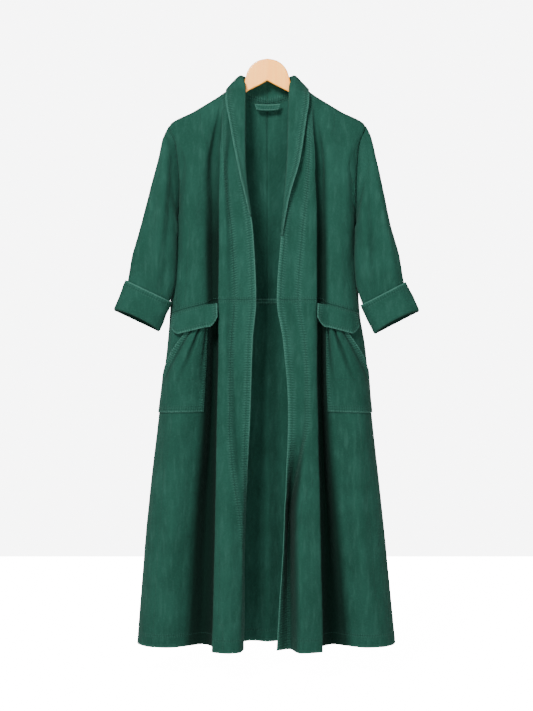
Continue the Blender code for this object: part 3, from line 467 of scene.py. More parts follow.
def washed_twill(name):
    material = bpy.data.materials.new(name)
    material.use_nodes = True
    nodes = material.node_tree.nodes
    link = material.node_tree.links.new
    shader = nodes["Principled BSDF"]
    shader.inputs["Roughness"].default_value = 0.94
    shader.inputs["Specular IOR Level"].default_value = 0.07
    shader.inputs["Sheen Weight"].default_value = 0.035
    shader.inputs["Sheen Roughness"].default_value = 0.45
    shader.inputs["Sheen Tint"].default_value = (0.42, 0.72, 0.62, 1)

    def sums(kind, a, b):
        node = nodes.new("ShaderNodeMath")
        node.operation = kind
        for socket, value in zip(node.inputs, (a, b)):
            if isinstance(value, (int, float)):
                socket.default_value = value
            elif value is not None:
                link(value, socket)
        return node.outputs[0]

    def carried(attribute):
        node = nodes.new("ShaderNodeAttribute")
        node.attribute_name = attribute
        return node.outputs["Fac"]

    def clouds(coordinates, scale, detail, stretch=(1, 1, 1)):
        mapping = nodes.new("ShaderNodeMapping")
        mapping.inputs["Scale"].default_value = stretch
        link(coordinates, mapping.inputs["Vector"])
        node = nodes.new("ShaderNodeTexNoise")
        node.inputs["Scale"].default_value = scale
        node.inputs["Detail"].default_value = detail
        link(mapping.outputs[0], node.inputs["Vector"])
        return node.outputs["Fac"]

    def ramp(value, low, high, to_low=0.0, to_high=1.0):
        node = nodes.new("ShaderNodeMapRange")
        node.interpolation_type = "SMOOTHSTEP"
        for socket, number in zip(node.inputs[1:5], (low, high, to_low, to_high)):
            socket.default_value = number
        link(value, node.inputs[0])
        return node.outputs[0]

    def mixed(share, a, b, kind="MIX"):
        node = nodes.new("ShaderNodeMix")
        node.data_type = "RGBA"
        node.blend_type = kind
        for socket, value in zip((node.inputs[0], node.inputs[6], node.inputs[7]), (share, a, b)):
            if isinstance(value, (int, float, tuple)):
                socket.default_value = value
            else:
                link(value, socket)
        return node.outputs[2]

    places = nodes.new("ShaderNodeTexCoord")
    cloth_places = places.outputs["UV"]
    dyed = (*DYED, 1)
    deep = (*DEEP, 1)
    worn = (*WORN, 1)
    mottle = clouds(places.outputs["Object"], 14, 4)
    streak = clouds(places.outputs["Object"], 22, 4, (5, 5, 1))
    fleck = clouds(cloth_places, 240, 3, (1, 1.6, 1))
    colour = mixed(ramp(mottle, 0.32, 0.70), deep, dyed)
    colour = mixed(ramp(streak, 0.45, 0.85, 0, 0.22), colour, worn)
    colour = mixed(ramp(streak, 0.50, 0.20, 0, 0.30), colour, deep)
    colour = mixed(ramp(fleck, 0.48, 0.85, 0, 0.22), colour, worn)

    split = nodes.new("ShaderNodeSeparateXYZ")
    link(cloth_places, split.inputs[0])
    jitter = clouds(cloth_places, 70, 2)
    unease = sums("MULTIPLY", jitter, 6.0)

    def crests(place):
        turn = sums("ADD", sums("MULTIPLY", place, 2000 * pi / PUCKER_PITCH), unease)
        return sums("MULTIPLY", sums("ADD", sums("SINE", turn, None), 1.0), 0.5)

    upright = sums("ABSOLUTE", carried("upright_row"), None)
    level = sums("ABSOLUTE", carried("level_row"), None)
    down_crests = crests(split.outputs["Y"])
    across_crests = crests(split.outputs["X"])
    pucker = sums("MULTIPLY", down_crests, ramp(upright, 12.0, 1.0))
    pucker = sums("MAXIMUM", pucker, sums("MULTIPLY", across_crests, ramp(level, 6.0, 1.0, 0.0, 0.6)))
    on_row = ramp(sums("MINIMUM", upright, level), 2.2, 0.8)
    near_row = ramp(sums("MINIMUM", upright, level), 9.0, 1.0)
    # Painted shade: beside each sewn row the colour darkens between the pucker crests, and most on the row
    # itself where its groove lies; the crests are worn paler.
    colour = mixed(sums("MULTIPLY", sums("SUBTRACT", near_row, pucker), 0.45), colour, deep)
    colour = mixed(sums("MULTIPLY", pucker, PUCKER_PALENESS), colour, worn)
    colour = mixed(sums("MULTIPLY", on_row, ROW_PAINTED_SHADE), colour, deep)
    edge = carried("edge")
    rubbed = sums("MULTIPLY", ramp(edge, 5.5, 0.5), sums("MAXIMUM", down_crests, across_crests))
    rubbed = sums("MAXIMUM", rubbed, sums("MULTIPLY", ramp(edge, 1.8, 0.0), 0.75))
    colour = mixed(sums("MULTIPLY", rubbed, 0.8), colour, worn)
    # Painted shade: the colour goes towards near black deep in the folds, in the pocket pleats and inside
    # the cuffs' mouths, as the carried mark says.
    painted_fold_shade = sums("MULTIPLY", carried("painted_shade"), FOLD_PAINTED_SHADE)
    colour = mixed(painted_fold_shade, colour, (*PAINTED_SHADE_GREEN, 1))
    link(colour, shader.inputs["Base Color"])

    twill = nodes.new("ShaderNodeTexWave")
    twill.inputs["Scale"].default_value = 300
    twill.inputs["Distortion"].default_value = 0.6
    twill.inputs["Detail"].default_value = 1
    slant = nodes.new("ShaderNodeMapping")
    slant.inputs["Rotation"].default_value = (0, 0, radians(32))
    link(cloth_places, slant.inputs["Vector"])
    link(slant.outputs[0], twill.inputs["Vector"])
    crinkle = clouds(cloth_places, 85, 4, (1.3, 1, 1))
    height = sums("MULTIPLY", twill.outputs["Fac"], 0.10)
    height = sums("ADD", height, sums("MULTIPLY", crinkle, 1.2))
    height = sums("ADD", height, sums("MULTIPLY", pucker, 0.9))
    height = sums("SUBTRACT", height, sums("MULTIPLY", on_row, 0.5))
    bump = nodes.new("ShaderNodeBump")
    bump.inputs["Strength"].default_value = 1.0
    bump.inputs["Distance"].default_value = 0.0010
    link(height, bump.inputs["Height"])
    link(bump.outputs[0], shader.inputs["Normal"])
    return material


TWILL = washed_twill("washed_green_twill")


def unit(v):
    return v / np.maximum(np.linalg.norm(v, axis=-1, keepdims=True), 1e-9)


def lengths_of(points):
    """Millimetres along each row and down each column."""
    across = np.linalg.norm(np.diff(points, axis=1), axis=-1)
    down = np.linalg.norm(np.diff(points, axis=0), axis=-1)
    across = np.concatenate([np.zeros((len(points), 1)), np.cumsum(across, axis=1)], axis=1)
    down = np.concatenate([np.zeros((1, points.shape[1])), np.cumsum(down, axis=0)], axis=0)
    return across, down


def to_rows(place, rows):
    """Signed distance to the nearest of some rows, which changes its sign only on a row."""
    signed = np.full(place.shape, 60.0)
    for k, row in enumerate(sorted(rows, key=np.mean)):
        distance = place - row
        signed = np.where(np.abs(distance) < np.abs(signed), distance * (-1) ** k, signed)
    return signed


def marks_on(points, rows_sewn, worn_edges):
    """Across and down lengths, and distances to the upright rows, the level rows and the worn edge."""
    across, down = lengths_of(points)
    at = {"start": 0.0, "stop": across[:, -1:], "top": 0.0, "bottom": down[-1:]}
    inward = {"start": 1, "stop": -1, "top": 1, "bottom": -1}
    upright = [at[s] + inward[s] * d for s, d in rows_sewn if s in ("start", "stop")]
    level = [at[s] + inward[s] * d for s, d in rows_sewn if s in ("top", "bottom")]
    edge = np.full(across.shape, 60.0)
    for side in worn_edges:
        place = across if side in ("start", "stop") else down
        edge = np.minimum(edge, np.abs(place - at[side]))
    return across, down, to_rows(across, upright), to_rows(down, level), edge


THREAD_PITCH = 4.0
THREAD_SIZE = (2.8, 0.6, 0.5)
THREAD_PROUD = 0.12
THREAD_GREEN = (0.020, 0.066, 0.049, 1)
thread = bpy.data.materials.new("green_thread")
thread.use_nodes = True
shader = thread.node_tree.nodes["Principled BSDF"]
shader.inputs["Base Color"].default_value = THREAD_GREEN
shader.inputs["Roughness"].default_value = 0.7
shader.inputs["Specular IOR Level"].default_value = 0.1


def row_path(points, across, down, side, inset):
    """Points of one sewn row on a grid of cloth, at a distance in from one of its sides."""
    if side in ("top", "bottom"):
        points, across = points.transpose(1, 0, 2), down.T
    inset = np.broadcast_to(inset, (len(points), 1))[:, 0]
    found = []
    for line, lengths, distance in zip(points, across, inset):
        place = distance if side in ("start", "top") else lengths[-1] - distance
        found.append([np.interp(place, lengths, line[:, k]) for k in range(3)])
    return np.array(found)


def stitch_rows(name, points, rows_sewn, sign, faces):
    """Real stitches: small rounded lengths of thread that lie on the cloth along each sewn row."""
    across, down = lengths_of(points)
    normals = normals_of(points)
    bm = bmesh.new()
    for side, inset in rows_sewn:
        path = row_path(points, across, down, side, inset)
        lift = unit(row_path(normals, across, down, side, inset))
        lengths = np.concatenate([[0], np.cumsum(np.linalg.norm(np.diff(path, axis=0), axis=1))])
        count = int(lengths[-1] / THREAD_PITCH)
        middles = (np.arange(count) + 0.5) * lengths[-1] / max(count, 1)
        spots = np.array([np.interp(middles, lengths, path[:, k]) for k in range(3)]).T
        ahead = np.array([np.interp(middles + 0.5, lengths, path[:, k]) for k in range(3)]).T
        behind = np.array([np.interp(middles - 0.5, lengths, path[:, k]) for k in range(3)]).T
        outs = np.array([np.interp(middles, lengths, lift[:, k]) for k in range(3)]).T
        for spot, run, out in zip(spots, ahead - behind, outs):
            for depth in faces:
                run_way = Vector(run * (sign, 1, 1)).normalized()
                out_way = Vector(out * (sign, 1, 1)).normalized()
                side_way = out_way.cross(run_way)
                turn = Matrix((run_way, side_way, out_way)).transposed().to_4x4()
                place = (spot + out * depth - (0, SHOULDER_Y, 0)) * (sign, 1, 1) * MM
                size = Matrix.Diagonal((*(Vector(THREAD_SIZE) * MM / 2), 1))
                matrix = Matrix.Translation(place) @ turn @ size
                bmesh.ops.create_icosphere(bm, subdivisions=1, radius=1, matrix=matrix)
    bmesh.ops.recalc_face_normals(bm, faces=bm.faces[:])
    mesh = bpy.data.meshes.new(name)
    bm.to_mesh(mesh)
    bm.free()
    mesh.materials.append(thread)
    stitches = bpy.data.objects.new(name, mesh)
    bpy.context.scene.collection.objects.link(stitches)
    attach(stitches, "root")


# Marks carried to the twill: the sewn rows, the worn edge and the painted shade of the folds.
CLOTH_MARKS = ("upright_row", "level_row", "edge", "painted_shade")


def sewn_cloth(
    name, points, sign, rows_sewn, worn_edges, wall=CLOTH, ring=False, painted_shade=None, inside=False
):
    """Sheet of cloth on a grid of points whose rows run down. A ring's last column lies on its first."""
    across, down, upright, level, edge = marks_on(points, rows_sewn, worn_edges)
    faces = (THREAD_PROUD, -wall - THREAD_PROUD) if inside else (THREAD_PROUD,)
    stitch_rows(name.replace("cloth", "stitches"), points, rows_sewn, sign, faces)
    # The painted shade mark is 0 where none is given.
    if painted_shade is None:
        painted_shade = np.zeros(across.shape)
    spots = (points - (0, SHOULDER_Y, 0)) * (sign, 1, 1) * MM
    if sign < 0:
        across = -across
        spots, across, down, upright, level, edge, painted_shade = (
            table[:, ::-1] for table in (spots, across, down, upright, level, edge, painted_shade)
        )
    rows, columns = across.shape
    bm = bmesh.new()
    bmesh.ops.create_grid(bm, x_segments=columns - 1, y_segments=rows - 1, size=1)
    layers = {key: bm.verts.layers.float.new(key) for key in CLOTH_MARKS}
    uv = bm.loops.layers.uv.new("cloth")
    marks = zip(*(table[::-1].flat for table in (upright, level, edge, painted_shade)))
    for vertex, spot, mark in zip(bm.verts, spots[::-1].reshape(-1, 3), marks):
        vertex.co = spot
        for layer, value in zip(layers.values(), mark):
            vertex[layer] = value
    metres = np.stack([across[::-1].ravel(), -down[::-1].ravel()], axis=1) * MM
    bm.verts.index_update()
    for face in bm.faces:
        face.smooth = True
        for loop in face.loops:
            loop[uv].uv = metres[loop.vert.index]
    if ring:
        bmesh.ops.remove_doubles(bm, verts=bm.verts[:], dist=0.01 * MM)
    mesh = bpy.data.meshes.new(name)
    bm.to_mesh(mesh)
    bm.free()
    mesh.materials.append(TWILL)
    piece = bpy.data.objects.new(name, mesh)
    bpy.context.scene.collection.objects.link(piece)
    solidify = piece.modifiers.new("wall", "SOLIDIFY")
    solidify.thickness = wall * MM
    solidify.offset = -1
    return piece


def hang(piece, node):
    """The piece stands for its solid and rides with it."""
    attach(piece, "root")
    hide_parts(node)


def drawn_back(points, top=0.0, bottom=0.0, start=0.0, stop=0.0):
    """The grid with its outer rows and columns moved in, to leave room for the seam."""
    points = points.copy()
    for at, beside, amount in ((0, 1, top), (-1, -2, bottom)):
        step = points[beside] - points[at]
        points[at] += step * (amount / np.maximum(np.linalg.norm(step, axis=-1, keepdims=True), 1e-6))
    for at, beside, amount in ((0, 1, start), (-1, -2, stop)):
        step = points[:, beside] - points[:, at]
        length = np.maximum(np.linalg.norm(step, axis=-1, keepdims=True), 1e-6)
        points[:, at] += step * (amount / length)
    return points


HALF_SEAM = -0.12
SIDES = (("left", left_half, -1), ("right", right_half, 1))
for side, half, sign in SIDES:
    seam_line = half.line("seam")
    rows, columns = half.rows_and_columns(0, WAIST, 0, seam_line)
    points = drawn_back(half.grid[rows][:, columns], HALF_SEAM, HALF_SEAM, HALF_SEAM, HALF_SEAM)
    sewn = (("start", 9), ("start", 46), ("bottom", 4), ("top", 5), ("stop", 4))
    # Painted shade deep in the folds and in the valley beside the front edge.
    painted_fold_shade = half.painted_shade()[rows][:, columns]
    piece = sewn_cloth(f"upper_front_cloth_{side}", points, sign, sewn, ("start",), painted_shade=painted_fold_shade)
    hang(piece, f"upper_front_{side}")

    rows, columns = half.rows_and_columns(0, WAIST, seam_line, half.line("centre"))
    points = drawn_back(half.grid[rows][:, columns], HALF_SEAM, HALF_SEAM, HALF_SEAM, HALF_SEAM)
    sewn = (("bottom", 4), ("start", 4), ("top", 4))
    piece = sewn_cloth(f"upper_back_cloth_{side}", points, sign, sewn, (), inside=True)
    hang(piece, f"upper_back_{side}")


# The skirt: two fronts with a deep inverted fold each and one wide back, seamed at the waist and the
# sides. It is the same twill, hemmed once along the bottom and left open at the front.
BAND_ROW_DROPS = (800, 1060)
BAND_ROW_INSETS = {"left": (46, 19), "right": (46, 27)}
for side, half, sign in SIDES:
    rows, columns = half.rows_and_columns(WAIST, HEM, 0, half.line("seam"))
    points = drawn_back(half.grid[rows][:, columns], HALF_SEAM, 0, HALF_SEAM, HALF_SEAM)
    band_row = np.interp(-points[:, :1, 2], BAND_ROW_DROPS, BAND_ROW_INSETS[side])
    sewn = (("start", 9), ("start", band_row), ("top", 4), ("stop", 5), ("stop", 14), ("bottom", 26))
    # Painted shade deep in the folds and in the valley beside the front edge.
    painted_fold_shade = half.painted_shade()[rows][:, columns]
    worn = ("start", "bottom")
    piece = sewn_cloth(f"skirt_front_cloth_{side}", points, sign, sewn, worn, painted_shade=painted_fold_shade)
    hang(piece, f"skirt_front_{side}")

back_halves = []
for side, half, sign in SIDES:
    rows, columns = half.rows_and_columns(WAIST, HEM, half.line("seam"), half.line("centre"))
    back_halves.append(half.grid[rows][:, columns] * (sign, 1, 1))
row_count = min(len(part) for part in back_halves)
evened = []
for part in back_halves:
    places = np.linspace(0, len(part) - 1, row_count)
    evened.append(flow(np.arange(len(part)), part.transpose(1, 2, 0), places).transpose(2, 0, 1))
points = np.concatenate([evened[1], evened[0][:, -2::-1]], axis=1)
points = drawn_back(points, HALF_SEAM, 0, HALF_SEAM, HALF_SEAM)
sewn = (("start", 5), ("stop", 5), ("top", 4), ("bottom", 26))
piece = sewn_cloth("skirt_back_cloth", points, 1, sewn, ("bottom",), inside=True)
hang(piece, "skirt_back")


# The sleeves: one tube of twill each, set in at the armhole and falling straight to the elbow, with
# two long soft folds in front and as many behind.
Ring = namedtuple("Ring", "outer_x outer_drop inner_x inner_drop mid_y half_y")
SLEEVE_LEFT = [
    Ring(223, 173, 193, 350, -4, 24),
    Ring(232, 214, 191, 368, -9, 27),
    Ring(247, 275, 195, 391, -17, 27),
    Ring(266, 350, 195, 427, -20, 26),
    Ring(287, 423, 197, 476, -19, 25),
    Ring(301, 480, 206, 521, -16, 23.5),
    Ring(320, 536, 234, 577, -14, 22),
]
SLEEVE_RIGHT = [
    Ring(223, 175, 193, 350, -3, 24),
    Ring(230, 214, 189, 368, -9, 27),
    Ring(243, 284, 188, 394, -15, 27),
    Ring(259, 352, 187, 432, -19, 26),
    Ring(280, 424, 190, 482, -19, 25),
    Ring(294, 482, 200, 527, -16, 23.5),
    Ring(317, 538, 230, 583, -14, 22),
]
SLEEVE_LEFT_CREASES = [
    Crease(216, 170, 246, 520, 8, 11, 4.2),
    Crease(204, 200, 226, 500, 4, 10, -3.4),
    Crease(232, 240, 282, 520, 4, 12, -2.2),
    Crease(206, 370, 262, 545, 8, 9, 1.8),
    Crease(240, 470, 300, 540, -5, 9, 1.6),
]
SLEEVE_RIGHT_CREASES = [
    Crease(222, 180, 276, 500, 4, 10, 4.4),
    Crease(208, 190, 232, 520, -4, 12, -4.0),
    Crease(200, 300, 216, 520, -3, 8, 2.4),
    Crease(238, 380, 256, 550, -6, 11, -1.8),
    Crease(246, 480, 300, 540, -5, 9, 1.6),
]
SLEEVE_BACK_CREASES = [
    Crease(206, 220, 262, 520, 6, 12, -3.2),
    Crease(222, 200, 284, 500, -5, 11, 3.0),
    Crease(204, 380, 250, 540, 6, 10, 2.0),
]
SLEEVE_CREASE_STRENGTH = 1.5
WRIST_NARROWING = 0.08
OFF_ARMHOLE = 0.05
RING_SAMPLES = 84


def ring_points(ring, count):
    """An oval section of a sleeve, starting at its outer end and turning to the front."""
    outer = np.array((ring.outer_x, ring.mid_y, -ring.outer_drop), float)
    inner = np.array((ring.inner_x, ring.mid_y, -ring.inner_drop), float)
    depth = np.array((0, -ring.half_y, 0))
    turns = 2 * pi * np.arange(count)[:, None] / count
    return (outer + inner) / 2 + (outer - inner) / 2 * np.cos(turns) + depth * np.sin(turns)


def around(loop, samples):
    """A closed loop of points, smoothly resampled. The last column lies on the first."""
    count = loop.shape[1]
    wrapped = np.concatenate([loop[:, -4:], loop, loop[:, :5]], axis=1)
    knots = np.arange(-4, count + 5)
    places = np.linspace(0, count, samples + 1)
    return flow(knots, wrapped.transpose(0, 2, 1), places).transpose(0, 2, 1)


SLEEVE_COLUMNS = 24
for side, half, sign, rings, creases in (
    ("left", left_half, -1, SLEEVE_LEFT, SLEEVE_LEFT_CREASES),
    ("right", right_half, 1, SLEEVE_RIGHT, SLEEVE_RIGHT_CREASES),
):
    first = half.line("point")
    last = half.line("back_point")
    named = ["point", "notch", "arm", "seam", "back_arm", "back_notch", "back_point"]
    knot_places = [half.line(n) for n in named]
    spread = np.interp(np.arange(SLEEVE_COLUMNS) / SLEEVE_COLUMNS * 6, range(7), knot_places)
    start = half.pick(spread, 0)[0] + (OFF_ARMHOLE, 0, 0)
    sections = np.array([start] + [ring_points(r, SLEEVE_COLUMNS) for r in rings])
    knots = np.arange(len(sections))
    places = np.linspace(0, len(sections) - 1, 110)
    tube = flow(knots, sections.transpose(1, 2, 0), places).transpose(2, 0, 1)
    tube = around(tube, RING_SAMPLES)
    down = np.arange(len(tube))[:, None] / (len(tube) - 1)
    under_cuff = WRIST_NARROWING * np.clip((down - 0.72) / 0.16, 0, 1)[..., None]
    tube = tube + (tube[:, :-1].mean(axis=1, keepdims=True) - tube) * under_cuff
    normal = normals_of(tube)
    middle = tube[:, :-1].mean(axis=1, keepdims=True)
    outward = np.sign(((tube - middle) * normal).sum(axis=-1, keepdims=True))
    normal = normal * np.where(outward == 0, 1, outward)
    normal[:, -1] = normal[:, 0] = normal[:, 0] + normal[:, -1]
    normal /= np.linalg.norm(normal, axis=-1, keepdims=True)
    x = tube[..., 0]
    drop = -tube[..., 2]
    front = np.clip(-normal[..., 1] * 2.5, 0, 1)
    back = np.clip(normal[..., 1] * 2.5, 0, 1)
    relief = SLEEVE_CREASE_STRENGTH * sum(crease_relief(x, drop, c) for c in creases) * front
    relief += sum(crease_relief(x, drop, c) for c in SLEEVE_BACK_CREASES) * back
    relief += 0.8 * rumple(tube * (1, 1, 0.5), 38, sign * 3.3) + 0.3 * rumple(tube, 14, 5.0 + sign)
    relief *= np.clip(down / 0.10, 0, 1) * np.clip((1 - down) / 0.12 - 0.6, 0, 1)
    tube = tube + normal * relief[..., None]
    piece = sewn_cloth(f"sleeve_cloth_{side}", tube, sign, (("top", 4),), (), ring=True)
    hang(piece, f"sleeve_{side}")


# The cuffs: the sleeve's end turned back twice, so a double band of twill stands round the wrist, with
# a rolled mouth and painted shade on its turned-in inside.
CUFF_CLOTH = 2.0
CUFF_HEIGHT = 68.0
CUFF_HALF_WIDTH = 53.0
CUFF_HALF_DEPTH = 28.0
CUFF_MOUTH = 8.0
CUFF_LIP_RISE = 8.0
CUFF_OUTER_ROWS = 19
MOUTH_PAINTED_SHADE = 0.85
for side, sign, rings in (("left", -1, SLEEVE_LEFT), ("right", 1, SLEEVE_RIGHT)):
    before, last = rings[-2:]
    middle = ring_points(last, SLEEVE_COLUMNS).mean(axis=0)
    across = np.array((last.outer_x - last.inner_x, 0, last.inner_drop - last.outer_drop), float)
    across /= np.linalg.norm(across)
    step_x = last.outer_x + last.inner_x - before.outer_x - before.inner_x
    step_drop = last.outer_drop + last.inner_drop - before.outer_drop - before.inner_drop
    down_arm = np.array((step_x, 0, -step_drop)) / hypot(step_x, step_drop)
    profile = [(t, 0.0) for t in np.linspace(CUFF_MOUTH - CUFF_HEIGHT, CUFF_MOUTH - 4, 17)]
    for turn in np.linspace(20, 160, 6):
        profile.append((CUFF_MOUTH - 4 + 4 * sin(radians(turn)), 2.8 * (1 - cos(radians(turn)))))
    profile += [(CUFF_MOUTH - 8, 5.8), (CUFF_MOUTH - 12, 6.6)]
    turns = 2 * pi * np.arange(RING_SAMPLES + 1) / RING_SAMPLES
    band = []
    for along_arm, into in profile:
        width = across * (CUFF_HALF_WIDTH - into)
        thick = np.array((0, -1, 0)) * (CUFF_HALF_DEPTH - into)
        lowness = np.clip((along_arm + 30) / 30, 0, 1) ** 2
        rise = CUFF_LIP_RISE * lowness * np.clip(np.sin(turns), 0, 1)[:, None]
        ring = middle + down_arm * (along_arm - rise)
        band.append(ring + width * np.cos(turns)[:, None] + thick * np.sin(turns)[:, None])
    band = np.array(band)
    normal = normals_of(band)
    normal[:, -1] = normal[:, 0]
    share = np.clip(1 - np.arange(len(profile)) / 16, 0, 1)[:, None]
    relief = 1.6 * rumple(band * (0.6, 1, 1.3), 24, sign * 8.7) + 0.6 * rumple(band, 10, 2.0)
    relief += 0.9 * share * ripple(turns[None, :] / (2 * pi) * 250, 62, sign * 1.0)
    relief[:, -1] = relief[:, 0]
    band = band + normal * (relief * np.clip(share * 4, 0.15, 1))[..., None]
    # Painted shade on the turned-in rows inside the mouth.
    inner = np.arange(len(band)) >= CUFF_OUTER_ROWS
    mouth = np.where(inner, MOUTH_PAINTED_SHADE, 0.0)[:, None] * np.ones(band.shape[1])
    piece = sewn_cloth(
        f"cuff_cloth_{side}",
        band,
        sign,
        (("top", 9),),
        ("top",),
        wall=CUFF_CLOTH,
        ring=True,
        painted_shade=mouth,
    )
    hang(piece, f"cuff_{side}")


# The shawl collar: a leaf of twill each side that stands up from the neck seam, rolls over and lies
# down the front to the break, joined at the centre back and topstitched along its free edge.
COLLAR_CLOTH = 1.8
ROLL_RADIUS = 3.5
ROLL_BEHIND = 2.0
LEAF_SWELL = 1.5
COLLAR_EASE = 0.4
NECK_TURN = 45.0
NECK_LAG = 10.0
ROLL_REACH = 6.0
ROLL_REACH_AT_BREAK = 0.6
TAPER = 0.8
Station = namedtuple("Station", "at roll_x roll_drop roll_y free_x free_drop free_y")
COLLAR_BACK = [
    Station(0, 0, 37, 37, 0, 107, 52),
    Station(1, 40, 36, 31, 56, 92, 42),
    Station(2, 53, 36, 8, 90, 64, 10),
]
FreeEdge = namedtuple("FreeEdge", "drop x y")
COLLAR_FRONT_LEFT = [
    FreeEdge(84, 90, -19),
    FreeEdge(137, 82, -30),
    FreeEdge(225, 65, -41),
    FreeEdge(289, 50, -47),
    FreeEdge(341, 37.5, -47),
]
COLLAR_FRONT_RIGHT = [
    FreeEdge(84, 90, -19),
    FreeEdge(137, 83, -30),
    FreeEdge(225, 69, -41),
    FreeEdge(300, 47, -48),
    FreeEdge(384, 31.5, -48),
]
COLLAR_SAMPLES = 30


def flow_points(knots, points, at):
    return flow(knots, np.asarray(points, float).T, at).T


for side, half, sign, fronts in (
    ("left", left_half, -1, COLLAR_FRONT_LEFT),
    ("right", right_half, 1, COLLAR_FRONT_RIGHT),
):
    at_knots = [s.at for s in COLLAR_BACK]
    rolls = np.array([(s.roll_x, s.roll_y, -s.roll_drop) for s in COLLAR_BACK], float)
    frees = np.array([(s.free_x, s.free_y, -s.free_drop) for s in COLLAR_BACK], float)
    neck_line = [half.line(n) for n in ("centre", "back_quarter", "back_neck")]
    at = np.linspace(0, 2, 34)
    seam_u = np.interp(at, (0, 1, 2), neck_line)
    bases = half.pick(seam_u, 0)[0]
    roll = flow_points(at_knots, rolls, at)
    free = flow_points(at_knots, frees, at)
    levels = half.v[half.v > 0.0]
    line = half.pick(0.0, levels)[0] - (COLLAR_EASE, 0, 0)
    line = line[-line[:, 2] <= fronts[-1].drop + 1]
    drop = -line[:, 2]
    share = (drop - NECK_DROP) / (fronts[-1].drop - NECK_DROP)
    reach = blend(ROLL_REACH, ROLL_REACH_AT_BREAK, share)
    near = np.maximum(0.0, 1 - ((drop - NECK_DROP) / NECK_TURN) ** 0.5)
    slim = 1 - TAPER * share ** 3
    offset = np.stack([-reach, -ROLL_RADIUS * slim, np.zeros(len(reach))], axis=1)
    neck_point = half.pick(0.0, 0.0)[0]
    front_roll = line + offset + (rolls[-1] - neck_point - offset) * near[:, None]
    drops = [COLLAR_BACK[-1].free_drop] + [f.drop for f in fronts]
    edges = np.array([frees[-1]] + [(f.x, f.y, -f.drop) for f in fronts])
    front_free = flow_points(drops, edges, np.maximum(drop + NECK_LAG * near, drops[0]))
    bases = np.concatenate([bases, line])
    roll = np.concatenate([roll, front_roll])
    free = np.concatenate([free, front_free])
    along = unit(np.gradient(roll, axis=0))
    along[0] = (1, 0, 0)
    opening = (bases + free) / 2 - roll
    opening = unit(opening - along * (opening * along).sum(axis=1, keepdims=True))
    width = free - bases
    width = width - along * (width * along).sum(axis=1, keepdims=True)
    width = unit(width - opening * (width * opening).sum(axis=1, keepdims=True))
    slim = np.concatenate([np.ones(len(at)), slim])[:, None]
    inward = roll + (opening * ROLL_BEHIND - width * ROLL_RADIUS) * slim
    outward = roll + (opening * ROLL_BEHIND + width * ROLL_RADIUS) * slim
    swell = (outward + free) / 2 + width * LEAF_SWELL * slim
    leaf = []
    for path in zip(bases, inward, roll, outward, swell, free):
        path = np.array(path)
        lengths = np.concatenate([[0], np.cumsum(np.linalg.norm(np.diff(path, axis=0), axis=1))])
        rolled = np.linspace(0, lengths[3], 13)[:-1]
        fallen = np.linspace(lengths[3], lengths[-1], COLLAR_SAMPLES - 12)
        leaf.append(flow_points(lengths, path, np.concatenate([rolled, fallen])))
    leaf = np.array(leaf)
    normal = normals_of(leaf)
    fade = np.clip((np.arange(leaf.shape[1]) - 12) / 10, 0, 1)[None, :]
    relief = fade * (0.9 * rumple(leaf, 34, sign * 4.1) + 0.25 * rumple(leaf, 13, 1.0))
    leaf = leaf + normal * relief[..., None]
    leaf = drawn_back(leaf, HALF_SEAM, 0, HALF_SEAM, 0)
    sewn = (("stop", 7), ("start", 5))
    piece = sewn_cloth(f"collar_cloth_{side}", leaf, sign, sewn, ("stop",), wall=COLLAR_CLOTH)
    hang(piece, f"collar_{side}")


# The patch pockets: gathered into three pleats under the flap, cut away in a slant for the hand and
# stitched down with two rows along the bottom.
POCKET_TOP = 28.0
POCKET_BOTTOM = 238.0
POCKET_BULGE = 9.5
POCKET_PLEATS = 3
POCKET_PLEAT_DEPTH = 9.0
POCKET_GAPE = 5.0
POCKET_PLEAT_REACH = 0.7
POCKET_IN_FROM_LIP = 4.0
POCKET_IN_FROM_SIDE = 5.0
HAND_OPENING = 146.0
HAND_START = 0.24
PLEAT_NARROWNESS = 5
PLEAT_PAINTED_SHADE = 0.95
for side, half, sign, sections in (("left", left_half, -1, LEFT), ("right", right_half, 1, RIGHT)):
    waist_drop = sections[WAIST_KNOT - FIRST_SECTION].drop
    top = waist_drop + POCKET_TOP
    bottom = waist_drop + POCKET_BOTTOM
    lip_drops = -half.pick(half.line("lip"), half.v)[0][:, 2]
    drops = np.linspace(top, bottom, 50)
    levels = np.interp(drops, lip_drops, half.v)[:, None]
    lip = half.line("lip") + POCKET_IN_FROM_LIP
    seam_side = half.line("seam") - POCKET_IN_FROM_SIDE
    hand = np.minimum(1.0, (drops - top) / HAND_OPENING)
    edge_u = blend(blend(lip, seam_side, HAND_START), seam_side, hand)[:, None]
    share = np.linspace(0, 1, 56)[None, :]
    down = np.linspace(0, 1, 50)[:, None]
    points, normal = half.pick(blend(lip, edge_u, share), levels)
    swell = np.sin(pi * np.minimum(share * 1.15, 1)) * np.sin(pi * np.minimum(0.26 + 0.74 * down, 1))
    swell = np.maximum(swell, 0)
    fade = np.maximum(0.0, 1 - down / POCKET_PLEAT_REACH)
    fold = (1 - np.cos(2 * pi * POCKET_PLEATS * (share + 0.05 * np.sin(3 * down)))) / 2
    pleat = fade ** 0.7 * fold ** PLEAT_NARROWNESS
    lift = LAID_ON + CLOTH + swell * (POCKET_BULGE - POCKET_PLEAT_DEPTH * pleat)
    lift = lift + 0.5 * swell * ripple(share * 110, 13, 2.0 + sign) * fade
    open_hand = np.sin(pi * np.clip((drops - top) / HAND_OPENING, 0, 1))[:, None]
    lift = lift + POCKET_GAPE * open_hand * np.clip((share - 0.7) / 0.3, 0, 1) ** 2
    # The pleats' valleys carry painted shade.
    piece = sewn_cloth(
        f"pocket_cloth_{side}",
        points + normal * lift[..., None],
        sign,
        (("stop", 3), ("stop", 11), ("bottom", 4), ("bottom", 11), ("start", 3)),
        ("stop", "bottom"),
        painted_shade=PLEAT_PAINTED_SHADE * pleat,
    )
    hang(piece, f"pocket_{side}")


